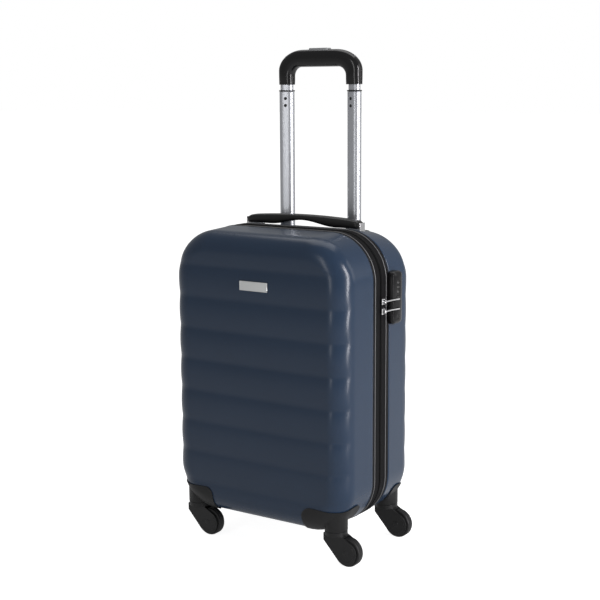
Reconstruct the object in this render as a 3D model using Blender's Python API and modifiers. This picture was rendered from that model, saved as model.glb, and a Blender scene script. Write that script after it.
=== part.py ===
# Hard shell cabin suitcase on four swivel wheels, as separate pieces.
# Metres, +Z up, standing on the floor at z = 0. The zip's middle is the plane y = 0,
# the front half is at -y, and the rear half, which carries the trolley, is at +y.
import math

import bmesh
import bpy
from mathutils import Matrix, Vector

# The case.
WHEEL_RADIUS = 0.0238  # sets the height of all that stands on the wheels
SHELL_WIDTH = 0.3473
SHELL_HEIGHT = 0.483
SHELL_BOTTOM = 2 * WHEEL_RADIUS + 0.0009
SHELL_TOP = SHELL_BOTTOM + SHELL_HEIGHT
SIDE_X = SHELL_WIDTH / 2
FRONT_DEPTH = 0.1093  # from the zip's middle to the front face
REAR_DEPTH = 0.1115
BAND_HALF = 0.025  # half the width of the zip band
OUTLINE_RADIUS = 0.078  # corners of the case seen from the front
FACE_RADIUS = 0.034  # edge between a face and the sides
DRAFT = 0.0035  # how much narrower a shell is, each side, at its face
REAR_TOP_FALL = 0.0125  # how far the rear half's top slopes down towards its face
WALL = 0.0025
PILLOW_PITCH = 0.053
PILLOW_RELIEF = 0.0025
GAP = 0.0003
# Everything is moved this far, so that the middle of all that sticks out is at x = 0.
CENTRE_SHIFT = -0.0065

# The zip.
TAPE_THICKNESS = 0.0016
CHAIN_HALF = 0.0033
CHAIN_PROUD = 0.0008
PIPING_SIZE = 0.0016
FRONT_PIPING_Y = -0.0190
REAR_PIPING_Y = 0.0150
LEAF_WIDTH = 0.011
LEAF_THICKNESS = 0.0010
SLIDER_HEIGHTS = {"upper": SHELL_TOP - 0.1100, "lower": SHELL_TOP - 0.1260}
SLIDER_SIZE = (0.0036, 0.0085, 0.0105)
SLIDER_EDGE = 0.0010
PULL_POST_RADIUS = 0.0010
PULL_POST_PROUD = 0.0066
PULL_POST_SHARE = 0.7  # the post's height, as a share of the slider's
EAR_SIZE = (0.0018, 0.0022, 0.0016)  # reach past the post, half width and thickness
PULL_LENGTH = 0.0370
PULL_WIDTH = 0.0028
PULL_THICKNESS = 0.0024
PULL_EYE_RADIUS = 0.0030
PULL_BEND = 0.0060  # how far the tip stands out from the post

# The lock on the right side of the rear half.
LOCK_BOTTOM = SHELL_TOP - 0.1510
LOCK_HEIGHT = 0.087
LOCK_Y = 0.0190
LOCK_WIDTH = 0.0320
LOCK_PROUD = 0.0115
LOCK_CORNER = 0.0090  # round corners seen from the side
LOCK_EDGE = 0.0050  # rounding of the outer face's rim
FIRST_DIAL_DROP = 0.0190  # from the housing's top to the first dial
DIAL_RADIUS = 0.0050
DIAL_THICKNESS = 0.0050
DIAL_PITCH = 0.0075
DIAL_PROUD = 0.0007
DIAL_COUNT = 3
SLOT_HALF = 0.0024  # half the height of the two slots that take the pulls
SLOT_REACH = 0.0210  # how far they run across the face
SLOT_FLOOR = 0.0030  # where they stop, outside the case's side
BUTTON_SIZE = (0.0040, 0.0100, 0.0044)  # depth, width and height
BUTTON_SPACE = 0.0010  # more than a dial's pitch below the last dial
BUTTON_EDGE = 0.0006
BUTTON_TRAVEL = 0.0015
KEY_RADIUS = 0.0035
KEY_HEIGHT = 0.0125  # above the housing's bottom
KEY_SIZE = (0.0050, 0.0002)  # the barrel's length, and how far it sinks below the face
KEYWAY = (0.0035, 0.0008, 0.0040)  # depth, width and height

# The carry handle on the top of the rear half.
HANDLE_LENGTH = SHELL_WIDTH - 0.1213
HANDLE_WIDTH = 0.022
HANDLE_Y = 0.0395
HANDLE_END_THICKNESS = 0.0135
HANDLE_END_LENGTH = 0.047  # the thick end that rests on the shell
HANDLE_UNDER_RISE = 0.0090
HANDLE_TOP_RISE = 0.0050
HANDLE_LIFT = 0.0040
HANDLE_EDGE = 0.0022
BRACKET_LENGTH = 0.0260
BRACKET_WIDTH = 0.0160
BRACKET_METAL = 0.0012
BRACKET_LIP = 0.0120  # height of the lip that stands up outside the handle's end
ANCHOR_NECK = (0.0080, 0.0050)  # the anchor's neck, length and width
ANCHOR_HEAD = (0.0120, 0.0090, 0.0022)  # its head, length, width and thickness
ANCHOR_LEDGE = 0.0018  # what the head catches when the handle is lifted

# The trolley.
TUBE_X = 0.0680
TUBE_Y = REAR_DEPTH - 0.0215
TUBE_TURN = math.radians(16.0)
STAGE_SIZE = (0.0262, 0.0175)
TUBE_WALL = 0.0012
TUBE_CLEARANCE = 0.0006
GUIDE_BOTTOM = SHELL_BOTTOM + 0.0235
STAGE_BOTTOM = SHELL_TOP - 0.0790
STAGE_TOP = SHELL_TOP + 0.2250
COLLAR_HEIGHT = 0.0022
COLLAR_PROUD = 0.0009
INNER_BOTTOM = STAGE_BOTTOM + 0.0160
GRIP_BOTTOM = STAGE_TOP + 0.0090
GRIP_TOP = GRIP_BOTTOM + 0.0590
GRIP_LEG = STAGE_SIZE[0] + 0.0008
GRIP_HALF_WIDTH = TUBE_X + GRIP_LEG / 2 - 0.0005
GRIP_DEPTH = STAGE_SIZE[1] + 0.0050
GRIP_BAR = 0.0290
GRIP_CORNER = (0.0480, 0.0340)  # the shoulders' reach, across and down
GRIP_INNER_CORNER = 0.0160
GRIP_EDGE = 0.0080
GRIP_LAP = 0.0110  # how far the inner tubes run up into the grip
RELEASE_LENGTH = 0.0380
RELEASE_WIDTH = 0.0150
RELEASE_PROUD = 0.0022
RELEASE_TRAVEL = 0.0030
RELEASE_EDGE = 0.0012
ROD_SIZE = 0.0030
BUTTON_DEPTH = 0.0105  # how far below the grip's top the release bar lies
BEZEL_HALF_LENGTH = TUBE_X + 0.0260
BEZEL_WIDTH = STAGE_SIZE[0] + 0.0048
BEZEL_TOP = SHELL_TOP - 0.0090
BEZEL_DEPTH = 0.020
BEZEL_EDGE = 0.0060
FOOT_BLOCK_HEIGHT = 0.016
FOOT_BLOCK_MARGIN = (0.0200, 0.0135)  # past the tubes' axes, across and along the depth
FOOT_BLOCK_FLOOR = 0.003
FOOT_BLOCK_EDGE = 0.0020
LOCK_HOLE_RADIUS = 0.0021
LOCK_HOLE_DROPS = (0.0140, 0.0260)  # below the stage tubes' collars

# The wheels.
SWIVEL_X = SIDE_X - 0.03465
SWIVEL_Y = 0.0820
TRAIL = 0.0235
WHEEL_WIDTH = 0.0140
WHEEL_SIDES = 24
CHEEK_RADIUS = WHEEL_RADIUS - 0.0040
CHEEK_THICKNESS = 0.0032
CHEEK_CLEARANCE = 0.0006
AXLE_RADIUS = 0.0030
NECK_RADIUS = 0.0190
NECK_ROOF = 2 * WHEEL_RADIUS + 0.0019
SPLIT_HEIGHT = NECK_ROOF + 0.0070
TURRET_TOP = SPLIT_HEIGHT + 0.0100
STEM_RADIUS = 0.0045
STEM_HEIGHT = 0.0050
SKIN = 0.0040  # thickness of a wheel housing's skin over the shell's corner
SKIN_TOP = SHELL_BOTTOM + 0.0450
SKIN_INNER_X = SWIVEL_X - 0.0485

# Inside.
LINING_GAP = 0.0010
LINING_THICKNESS = 0.0010
LINING_RIM = 0.0060  # how far the linings stop short of the zip's middle
STRAP_WIDTH = 0.0250
STRAP_THICKNESS = 0.0014
STRAP_Y = 0.0130
BUCKLE_SIZE = (0.034, 0.0072, 0.030)
BUCKLE_EDGE = 0.0015
TONGUE_SHARES = (0.64, 0.50)  # the tongue's width and thickness, as shares of the buckle's
TONGUE_REACH = 0.6  # how far it goes into the socket, as a share of its half

# Badge.
BADGE_SIZE = (0.0545, 0.0016, 0.0155)
BADGE_HEIGHT = SHELL_TOP - 0.0853

HINGE_X = -(SIDE_X + GAP + LEAF_THICKNESS + 0.0002)

for leftover in list(bpy.data.objects):
    bpy.data.objects.remove(leftover, do_unlink=True)

parts = bpy.data.collections.new("hard_shell_suitcase")
helpers = bpy.data.collections.new("cutters")
for collection in (parts, helpers):
    bpy.context.scene.collection.children.link(collection)
helpers.hide_render = True


# Materials: colour, roughness, metallic.
FINISHES = {
    "shell_blue": ((0.055, 0.085, 0.130, 1.0), 0.34, 0.0),
    "black_plastic": ((0.018, 0.018, 0.020, 1.0), 0.45, 0.0),
    "gloss_black": ((0.010, 0.010, 0.011, 1.0), 0.18, 0.0),
    "black_tape": ((0.015, 0.015, 0.016, 1.0), 0.85, 0.0),
    "grey_piping": ((0.160, 0.160, 0.165, 1.0), 0.45, 0.0),
    "aluminium": ((0.600, 0.610, 0.630, 1.0), 0.28, 1.0),
    "steel": ((0.550, 0.550, 0.560, 1.0), 0.30, 1.0),
    "zinc": ((0.700, 0.700, 0.710, 1.0), 0.22, 1.0),
    "tyre_black": ((0.020, 0.020, 0.021, 1.0), 0.55, 0.0),
    "button_grey": ((0.230, 0.235, 0.240, 1.0), 0.40, 0.0),
    "lining_grey": ((0.090, 0.092, 0.098, 1.0), 0.80, 0.0),
    "strap_black": ((0.020, 0.020, 0.022, 1.0), 0.80, 0.0),
}


def material(finish):
    found = bpy.data.materials.get(finish)
    if found:
        return found
    colour, roughness, metallic = FINISHES[finish]
    made = bpy.data.materials.new(finish)
    made.use_nodes = True
    shader = made.node_tree.nodes["Principled BSDF"]
    shader.inputs["Base Color"].default_value = colour
    shader.inputs["Roughness"].default_value = roughness
    shader.inputs["Metallic"].default_value = metallic
    return made


def joint_frame(name, place, parent=None):
    # An empty that stands on a joint's axis and carries the pieces that move on it.
    empty = bpy.data.objects.new(name, None)
    empty.empty_display_size = 0.02
    parts.objects.link(empty)
    empty.location = place
    if parent:
        empty.parent = parent
        empty.location = Vector(place) - frame_place(parent)
    return empty


def frame_place(empty):
    # Where a frame stands in the case's own coordinates.
    place = Vector((0, 0, 0))
    while empty and empty.name != "suitcase":
        place += empty.location
        empty = empty.parent
    return place


suitcase = joint_frame("suitcase", (CENTRE_SHIFT, 0, 0))


def mesh_object(name, mesh, frame, finish):
    # The mesh is made in the case's coordinates, and hangs on its frame.
    mesh.name = name
    mesh.transform(Matrix.Translation(-frame_place(frame)))
    piece = bpy.data.objects.new(name, mesh)
    piece.parent = frame
    if finish is None:
        helpers.objects.link(piece)
        piece.hide_render = True
        piece.display_type = "WIRE"
    else:
        mesh.materials.clear()
        mesh.materials.append(material(finish))
        parts.objects.link(piece)
        mesh.shade_smooth()
        mesh.set_sharp_from_angle(angle=math.radians(32))
    return piece


def from_bmesh(name, bm, frame, finish):
    mesh = bpy.data.meshes.new(name)
    bmesh.ops.recalc_face_normals(bm, faces=bm.faces)
    bm.to_mesh(mesh)
    bm.free()
    return mesh_object(name, mesh, frame, finish)


def boolean(piece, cutter, operation="DIFFERENCE"):
    modifier = piece.modifiers.new(operation.lower() + "_" + cutter.name, "BOOLEAN")
    modifier.object = cutter
    modifier.operation = operation
    modifier.solver = "EXACT"


def edges_where(bm, test):
    # Edges whose two ends both pass a test.
    return [e for e in bm.edges if all(test(v.co) for v in e.verts)]


def round_edges(bm, edges, radius, segments):
    bmesh.ops.bevel(
        bm, geom=edges, offset=radius, offset_type="OFFSET", segments=segments,
        profile=0.5, affect="EDGES", clamp_overlap=False,
    )


def block_bmesh(low, high):
    bm = bmesh.new()
    bmesh.ops.create_cube(bm, size=1.0)
    for v in bm.verts:
        v.co = [lo + (c + 0.5) * (hi - lo) for c, lo, hi in zip(v.co, low, high)]
    return bm


def block(name, low, high, frame, finish, rounding=0.0, segments=1, keep=None):
    # A box between two corners. Its edges, or those that keep passes, are rounded.
    bm = block_bmesh(low, high)
    if rounding:
        edges = edges_where(bm, keep) if keep else list(bm.edges)
        round_edges(bm, edges, rounding, segments)
    return from_bmesh(name, bm, frame, finish)


def rod(name, centre, radius, length, axis, frame, finish, sides=24, turn=0.0):
    # A cylinder about an axis, "X", "Y" or "Z", with its middle at centre.
    bm = bmesh.new()
    bmesh.ops.create_cone(
        bm, cap_ends=True, segments=sides, radius1=radius, radius2=radius, depth=length
    )
    spin = Matrix.Rotation(turn, 4, "Z")
    lay = {
        "X": Matrix.Rotation(math.pi / 2, 4, "Y"),
        "Y": Matrix.Rotation(-math.pi / 2, 4, "X"),
        "Z": Matrix.Identity(4),
    }[axis]
    bmesh.ops.transform(bm, matrix=Matrix.Translation(centre) @ lay @ spin, verts=bm.verts)
    return from_bmesh(name, bm, frame, finish)


def plate(name, loops, low, high, axis, frame, finish):
    # Flat outlines, the first one outside and the rest holes, drawn out along an axis.
    # Along "Y" the outline's points are (x, z), along "X" (y, z) and along "Z" (x, y).
    curve = bpy.data.curves.new(name, "CURVE")
    curve.dimensions = "2D"
    curve.fill_mode = "BOTH"
    curve.extrude = (high - low) / 2
    for loop in loops:
        spline = curve.splines.new("POLY")
        spline.points.add(len(loop) - 1)
        for point, (u, v) in zip(spline.points, loop):
            point.co = (u, v, 0, 1)
        spline.use_cyclic_u = True
    flat = bpy.data.objects.new(name, curve)
    helpers.objects.link(flat)
    bpy.context.view_layer.update()
    evaluated = flat.evaluated_get(bpy.context.evaluated_depsgraph_get())
    mesh = bpy.data.meshes.new_from_object(evaluated)
    bpy.data.objects.remove(flat, do_unlink=True)
    bpy.data.curves.remove(curve)
    middle = (low + high) / 2
    place = {
        "X": Matrix(((0, 0, 1, middle), (1, 0, 0, 0), (0, 1, 0, 0), (0, 0, 0, 1))),
        "Y": Matrix(((1, 0, 0, 0), (0, 0, -1, middle), (0, 1, 0, 0), (0, 0, 0, 1))),
        "Z": Matrix.Translation((0, 0, middle)),
    }[axis]
    mesh.transform(place)
    bm = bmesh.new()
    bm.from_mesh(mesh)
    bmesh.ops.remove_doubles(bm, verts=bm.verts, dist=1e-6)
    bpy.data.meshes.remove(mesh)
    return from_bmesh(name, bm, frame, finish)


def arc(centre, radius, start, end, steps):
    # Points on a circle between two angles in degrees, both included.
    angles = [math.radians(start + (end - start) * i / steps) for i in range(steps + 1)]
    return [(centre[0] + radius * math.cos(a), centre[1] + radius * math.sin(a)) for a in angles]


def frame_bmesh(y0, y1, outset, inset=lambda y: (0.0, 0.0)):
    # A block with the case's rounded outline from y0 to y1. inset gives how far its sides
    # and bottom, and then its top, come in at a depth y.
    low = (-SIDE_X - outset, min(y0, y1), SHELL_BOTTOM - outset)
    high = (SIDE_X + outset, max(y0, y1), SHELL_TOP + outset)
    bm = block_bmesh(low, high)
    middle_z = (SHELL_BOTTOM + SHELL_TOP) / 2
    for v in bm.verts:
        sides, top = inset(v.co.y)
        v.co.x -= sides * math.copysign(1, v.co.x)
        v.co.z += sides if v.co.z < middle_z else -top
    long_edges = [e for e in bm.edges if abs(e.verts[0].co.y - e.verts[1].co.y) > 1e-6]
    round_edges(bm, long_edges, OUTLINE_RADIUS + outset, 6)
    return bm


def draft_at(side, y):
    # How far a half's sides lie inside the zip band's outline, at a depth y.
    depth = FRONT_DEPTH if side < 0 else REAR_DEPTH
    return DRAFT * (abs(y) - BAND_HALF) / (depth - BAND_HALF)


def top_at(side, y):
    # How far a half's top lies under the zip band's, at a depth y.
    if side < 0:
        return draft_at(side, y)
    return REAR_TOP_FALL * (y - BAND_HALF) / (REAR_DEPTH - BAND_HALF)


def core_bmesh(side, outset, rim):
    # The solid that one half of the case encloses, from its rim to its face.
    # side is -1 for the front half and 1 for the rear half.
    depth = FRONT_DEPTH if side < 0 else REAR_DEPTH
    face_y = side * (depth + outset)
    bm = frame_bmesh(side * rim, face_y, outset, lambda y: (draft_at(side, y), top_at(side, y)))
    face_edges = edges_where(bm, lambda co: abs(co.y - face_y) < 1e-6)
    round_edges(bm, face_edges, FACE_RADIUS + outset, 4)
    return bm


def core(name, side, outset, rim, frame, finish=None):
    return from_bmesh(name, core_bmesh(side, outset, rim), frame, finish)


def pillow_depth(z):
    # How far the face lies below the pillows' crests: zero at a crest, most in a valley.
    along = (z - SHELL_BOTTOM) / PILLOW_PITCH
    return PILLOW_RELIEF * (2 * (along - math.floor(along)) - 1) ** 2


def shell(name, side, frame):
    # A drawn shell: the half's core, open at its rim, with pillows across its face.
    bm = core_bmesh(side, 0.0, BAND_HALF)
    rim_y = side * BAND_HALF
    rim_faces = [f for f in bm.faces if all(abs(v.co.y - rim_y) < 1e-6 for v in f.verts)]
    bmesh.ops.delete(bm, geom=rim_faces, context="FACES")
    pillows = int(SHELL_HEIGHT / PILLOW_PITCH - 0.5)
    for half_step in range(1, 2 * pillows + 2):
        height = SHELL_BOTTOM + half_step * PILLOW_PITCH / 2
        bmesh.ops.bisect_plane(
            bm, geom=bm.verts[:] + bm.edges[:] + bm.faces[:], dist=1e-6,
            plane_co=(0, 0, height), plane_no=(0, 0, 1),
        )
    bm.normal_update()
    first, last = SHELL_BOTTOM + PILLOW_PITCH / 2, SHELL_BOTTOM + (pillows + 0.5) * PILLOW_PITCH
    for v in bm.verts:
        facing = min(1.0, abs(v.normal.y) / 0.7)
        if first < v.co.z < last:
            v.co -= v.normal * pillow_depth(v.co.z) * facing * facing * (3 - 2 * facing)
    piece = from_bmesh(name, bm, frame, "shell_blue")
    wall = piece.modifiers.new("wall", "SOLIDIFY")
    wall.thickness = WALL
    wall.offset = -1
    return piece


def ring(name, y0, y1, outset, thickness, frame, finish):
    # A band that follows the case's outline.
    bm = frame_bmesh(y0, y1, outset)
    ends = [f for f in bm.faces if abs(f.normal.y) > 0.5]
    bmesh.ops.delete(bm, geom=ends, context="FACES")
    piece = from_bmesh(name, bm, frame, finish)
    wall = piece.modifiers.new("wall", "SOLIDIFY")
    wall.thickness = thickness
    wall.offset = -1
    wall.use_even_offset = True
    return piece


def make_cases(lid):
    for side, name, frame in ((-1, "front", lid), (1, "rear", suitcase)):
        body = shell(name + "_shell", side, frame)
        for hand in (-1, 1):
            hole = rod(
                f"{name}_turret_hole_{hand}", (hand * SWIVEL_X, side * SWIVEL_Y, TURRET_TOP / 2),
                NECK_RADIUS + 2 * GAP, TURRET_TOP + 2 * GAP, "Z", frame, None,
            )
            boolean(body, hole)
    mouth = block(
        "bezel_mouth",
        (-BEZEL_HALF_LENGTH - GAP, TUBE_Y - BEZEL_WIDTH / 2 - GAP, BEZEL_TOP - BEZEL_DEPTH - WALL),
        (BEZEL_HALF_LENGTH + GAP, TUBE_Y + BEZEL_WIDTH / 2 + GAP, SHELL_TOP + WALL),
        suitcase, None,
    )
    boolean(body, mouth)


def make_zip(lid):
    for side, name, frame, piping_y in (
        (-1, "front", lid, FRONT_PIPING_Y), (1, "rear", suitcase, REAR_PIPING_Y),
    ):
        ring(
            name + "_zip_tape", side * CHAIN_HALF, side * (BAND_HALF - GAP),
            -GAP, TAPE_THICKNESS, frame, "black_tape",
        )
        chain = ring(
            name + "_zip_teeth", side * GAP / 2, side * (CHAIN_HALF - GAP),
            CHAIN_PROUD, TAPE_THICKNESS + CHAIN_PROUD, frame, "black_plastic",
        )
        hinge_side = block(
            name + "_chain_stop",
            (-SIDE_X - 0.01, -0.01, SHELL_BOTTOM + OUTLINE_RADIUS),
            (-SIDE_X + 0.01, 0.01, SHELL_TOP - OUTLINE_RADIUS), frame, None,
        )
        boolean(chain, hinge_side)
        ring(
            name + "_piping", piping_y - PIPING_SIZE / 2, piping_y + PIPING_SIZE / 2,
            PIPING_SIZE / 2, PIPING_SIZE / 2, frame, "grey_piping",
        )
        leaf_y = sorted((side * GAP / 2, side * LEAF_WIDTH))
        block(
            name + "_hinge_leaf",
            (-SIDE_X - GAP - LEAF_THICKNESS, leaf_y[0], SHELL_BOTTOM + OUTLINE_RADIUS),
            (-SIDE_X - GAP, leaf_y[1], SHELL_TOP - OUTLINE_RADIUS), frame, "black_tape",
        )


def pull_outline(post_x):
    # A bar that leaves its eye along +y and bends outwards to its tip, seen from above.
    eye = (post_x, 0.0)
    start, half = PULL_EYE_RADIUS * 0.8, PULL_WIDTH / 2
    steps = 8
    spine = [(start + (PULL_LENGTH - start) * i / steps) for i in range(steps + 1)]
    bend = [post_x + PULL_BEND * (y / PULL_LENGTH) ** 2 for y in spine]
    outer = [(x + half, y) for x, y in zip(bend, spine)]
    inner = [(x - half, y) for x, y in zip(bend, spine)]
    opening = math.degrees(math.asin(half / PULL_EYE_RADIUS))
    around = arc(eye, PULL_EYE_RADIUS, 90 + opening, 450 - opening, 16)
    return around + outer[1:] + inner[:0:-1]


def make_sliders():
    post_x = SIDE_X + PULL_POST_PROUD
    for name, height in SLIDER_HEIGHTS.items():
        low = (SIDE_X + CHAIN_PROUD + GAP, -SLIDER_SIZE[1] / 2, height - SLIDER_SIZE[2] / 2)
        high = (low[0] + SLIDER_SIZE[0], SLIDER_SIZE[1] / 2, height + SLIDER_SIZE[2] / 2)
        slider = block(f"zip_slider_{name}", low, high, suitcase, "zinc", SLIDER_EDGE)
        reach = PULL_EYE_RADIUS + 2 * GAP
        slot = rod(
            f"pull_slot_{name}", (post_x, 0, height), reach, PULL_THICKNESS + 2 * GAP,
            "Z", suitcase, None,
        )
        post = rod(
            f"pull_post_{name}", (post_x, 0, height), PULL_POST_RADIUS,
            SLIDER_SIZE[2] * PULL_POST_SHARE, "Z", suitcase, None, sides=12,
        )
        boolean(slider, slot)
        for side in (-1, 1):
            ear_middle = height + side * (PULL_THICKNESS / 2 + GAP + EAR_SIZE[2] / 2)
            ear = block(
                f"pull_ear_{name}_{side}",
                (low[0] + SLIDER_EDGE, -EAR_SIZE[1], ear_middle - EAR_SIZE[2] / 2),
                (post_x + EAR_SIZE[0], EAR_SIZE[1], ear_middle + EAR_SIZE[2] / 2), suitcase, None,
            )
            boolean(slider, ear, "UNION")
        boolean(slider, post, "UNION")
        frame = joint_frame(f"zip_pull_{name}_axis", (post_x, 0, height), suitcase)
        hole = arc((post_x, 0), PULL_POST_RADIUS + GAP, 360, 30, 11)
        plate(
            f"zip_pull_{name}", [pull_outline(post_x), hole],
            height - PULL_THICKNESS / 2, height + PULL_THICKNESS / 2, "Z", frame, "zinc",
        )


def make_lock():
    base_x, face_x = SIDE_X + CHAIN_PROUD + GAP, SIDE_X + LOCK_PROUD
    low = (SIDE_X - DRAFT, LOCK_Y, LOCK_BOTTOM)
    high = (face_x, LOCK_Y + LOCK_WIDTH, LOCK_BOTTOM + LOCK_HEIGHT)
    bm = block_bmesh(low, high)
    round_edges(bm, [e for e in bm.edges if abs(e.verts[0].co.x - e.verts[1].co.x) > 1e-6],
                LOCK_CORNER, 4)
    round_edges(bm, edges_where(bm, lambda co: co.x > face_x - 1e-6), LOCK_EDGE, 2)
    housing = from_bmesh("lock_housing", bm, suitcase, "black_plastic")
    boolean(housing, core("lock_seat", 1, GAP, BAND_HALF - LOCK_WIDTH / 2, suitcase))
    over_tape = block(
        "lock_tape_room", (low[0] - 0.001, LOCK_Y - 0.001, LOCK_BOTTOM - 0.001),
        (base_x, BAND_HALF + GAP, high[2] + 0.001), suitcase, None,
    )
    boolean(housing, over_tape)
    for name, height in SLIDER_HEIGHTS.items():
        slot = block(
            f"lock_slot_{name}", (SIDE_X + SLOT_FLOOR, LOCK_Y - 0.001, height - SLOT_HALF),
            (face_x + 0.001, LOCK_Y + SLOT_REACH, height + SLOT_HALF), suitcase, None,
        )
        boolean(housing, slot)
    middle_y = LOCK_Y + LOCK_WIDTH / 2
    dial_x = face_x + DIAL_PROUD - DIAL_RADIUS
    first = high[2] - FIRST_DIAL_DROP
    for i in range(DIAL_COUNT):
        height = first - i * DIAL_PITCH
        well = rod(
            f"dial_well_{i + 1}", (dial_x, middle_y, height), DIAL_RADIUS + 2 * GAP,
            DIAL_THICKNESS + 2 * GAP, "Z", suitcase, None,
        )
        boolean(housing, well)
        frame = joint_frame(f"lock_dial_{i + 1}_axis", (dial_x, middle_y, height), suitcase)
        rod(
            f"lock_dial_{i + 1}", (dial_x, middle_y, height), DIAL_RADIUS,
            DIAL_THICKNESS, "Z", frame, "black_plastic", sides=20,
        )
    button_z = first - DIAL_COUNT * DIAL_PITCH - BUTTON_SPACE
    deep, half_y, half_z = BUTTON_SIZE[0], BUTTON_SIZE[1] / 2, BUTTON_SIZE[2] / 2
    button_low = (face_x - deep, middle_y - half_y, button_z - half_z)
    button_high = (face_x + BUTTON_TRAVEL / 2, middle_y + half_y, button_z + half_z)
    pocket_low = [c - 2 * GAP for c in button_low]
    pocket_low[0] -= BUTTON_TRAVEL
    pocket_high = [c + 2 * GAP for c in button_high]
    boolean(housing, block("lock_button_pocket", pocket_low, pocket_high, suitcase, None))
    frame = joint_frame("lock_button_axis", (face_x, middle_y, button_z), suitcase)
    block("lock_button", button_low, button_high, frame, "black_plastic", BUTTON_EDGE)
    key_z = LOCK_BOTTOM + KEY_HEIGHT
    key_well = rod(
        "key_well", (face_x, middle_y, key_z), KEY_RADIUS + GAP, 0.012, "X", suitcase, None
    )
    boolean(housing, key_well)
    frame = joint_frame("lock_key_barrel_axis", (face_x, middle_y, key_z), suitcase)
    barrel = rod(
        "lock_key_barrel", (face_x - KEY_SIZE[1] - KEY_SIZE[0] / 2, middle_y, key_z), KEY_RADIUS,
        KEY_SIZE[0], "X", frame, "steel", sides=20,
    )
    keyway = block(
        "keyway", (face_x - KEYWAY[0], middle_y - KEYWAY[1] / 2, key_z - KEYWAY[2] / 2),
        (face_x + 0.001, middle_y + KEYWAY[1] / 2, key_z + KEYWAY[2] / 2), frame, None,
    )
    boolean(barrel, keyway)


def make_badge(lid):
    # The plate lies on the pillows' crests.
    back = -FRONT_DEPTH - GAP
    block(
        "badge_plate",
        (-BADGE_SIZE[0] / 2, back - BADGE_SIZE[1], BADGE_HEIGHT - BADGE_SIZE[2] / 2),
        (BADGE_SIZE[0] / 2, back, BADGE_HEIGHT + BADGE_SIZE[2] / 2), lid, "aluminium", 0.0003,
    )


def shoulder_drop(x):
    # How far the case's outline has fallen below its top, at a distance x from the middle.
    past = max(0.0, abs(x) - (SIDE_X - OUTLINE_RADIUS))
    return OUTLINE_RADIUS - math.sqrt(OUTLINE_RADIUS**2 - past**2)


def make_carry_handle():
    # A strap with thick ends that lie on the shell. An anchor in each end lets it lift.
    half = HANDLE_LENGTH / 2
    seat = SHELL_TOP - top_at(1, HANDLE_Y - HANDLE_WIDTH / 2) + GAP
    arch = half - HANDLE_END_LENGTH

    def under(x):
        hump = 0.5 * (1 + math.cos(math.pi * min(1.0, abs(x) / arch)))
        return seat + HANDLE_UNDER_RISE * hump - shoulder_drop(x)

    def over(x):
        crown = HANDLE_TOP_RISE * (1 - (x / half) ** 2)
        return seat + HANDLE_END_THICKNESS + crown - shoulder_drop(x)

    # The underside has no point in the middle of a straight stretch.
    flat, steps = SIDE_X - OUTLINE_RADIUS, 8
    ends = [half] + [x for x in ((half + flat) / 2, flat) if arch < x < half]
    below = ends + [arch * (1 - i / steps) for i in range(steps + 1)]
    above = [half * (1 - i / steps) for i in range(steps + 1)]
    right = [(x, under(x)) for x in below]
    left = [(-x, over(x)) for x in above]
    outline = right + [(-x, z) for x, z in right[-2::-1]]
    outline += left + [(-x, z) for x, z in left[-2::-1]]
    frame = joint_frame("carry_handle_axis", (0, HANDLE_Y, seat), suitcase)
    strap = plate(
        "carry_handle", [outline], HANDLE_Y - HANDLE_WIDTH / 2, HANDLE_Y + HANDLE_WIDTH / 2,
        "Y", frame, "black_plastic",
    )
    soften = strap.modifiers.new("soft_edges", "BEVEL")
    soften.width = HANDLE_EDGE
    soften.segments = 2
    soften.limit_method = "ANGLE"
    soften.angle_limit = math.radians(50)
    for hand, name in ((-1, "left"), (1, "right")):
        make_bracket(hand, name, half, under(half), seat, strap)


def make_bracket(hand, name, half, foot, seat, strap):
    # A metal foot on the shell with a lip outside the handle's end, and an anchor inside it.
    def across(near, far, width, low, high):
        # A box from near to far, measured outwards from the case's middle.
        xs = sorted((hand * near, hand * far))
        return (xs[0], HANDLE_Y - width / 2, low), (xs[1], HANDLE_Y + width / 2, high)

    lip = half + GAP
    plate_top = seat + BRACKET_METAL
    bracket = block(
        f"handle_bracket_{name}",
        *across(half - BRACKET_LENGTH, lip + BRACKET_METAL, BRACKET_WIDTH, foot - 0.004, plate_top),
        suitcase, "zinc",
    )
    boolean(bracket, core(f"bracket_seat_{name}", 1, GAP, BAND_HALF / 2, suitcase))
    middle = half - BRACKET_LENGTH / 2
    ledge_top = plate_top + GAP + ANCHOR_LEDGE
    head_low = ledge_top + HANDLE_LIFT + GAP
    parts_of_it = (
        (lip, lip + BRACKET_METAL, BRACKET_WIDTH, foot + BRACKET_METAL / 2, foot + BRACKET_LIP),
        (middle - ANCHOR_NECK[0] / 2, middle + ANCHOR_NECK[0] / 2, ANCHOR_NECK[1],
         seat, head_low + GAP),
        (middle - ANCHOR_HEAD[0] / 2, middle + ANCHOR_HEAD[0] / 2, ANCHOR_HEAD[1],
         head_low, head_low + ANCHOR_HEAD[2]),
    )
    for i, sizes in enumerate(parts_of_it):
        extra = block(f"bracket_{name}_{i}", *across(*sizes), suitcase, None)
        boolean(bracket, extra, "UNION")
    rooms = (
        (half - BRACKET_LENGTH - GAP, half + 0.002, BRACKET_WIDTH + 2 * GAP,
         foot - 0.004, plate_top + GAP),
        (middle - ANCHOR_NECK[0] / 2 - GAP, middle + ANCHOR_NECK[0] / 2 + GAP,
         ANCHOR_NECK[1] + 2 * GAP, foot - 0.004, head_low),
        (middle - ANCHOR_HEAD[0] / 2 - GAP, middle + ANCHOR_HEAD[0] / 2 + GAP,
         ANCHOR_HEAD[1] + 2 * GAP, ledge_top, head_low + ANCHOR_HEAD[2] + GAP),
    )
    for i, sizes in enumerate(rooms):
        boolean(strap, block(f"handle_room_{name}_{i}", *across(*sizes), suitcase, None))


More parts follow.
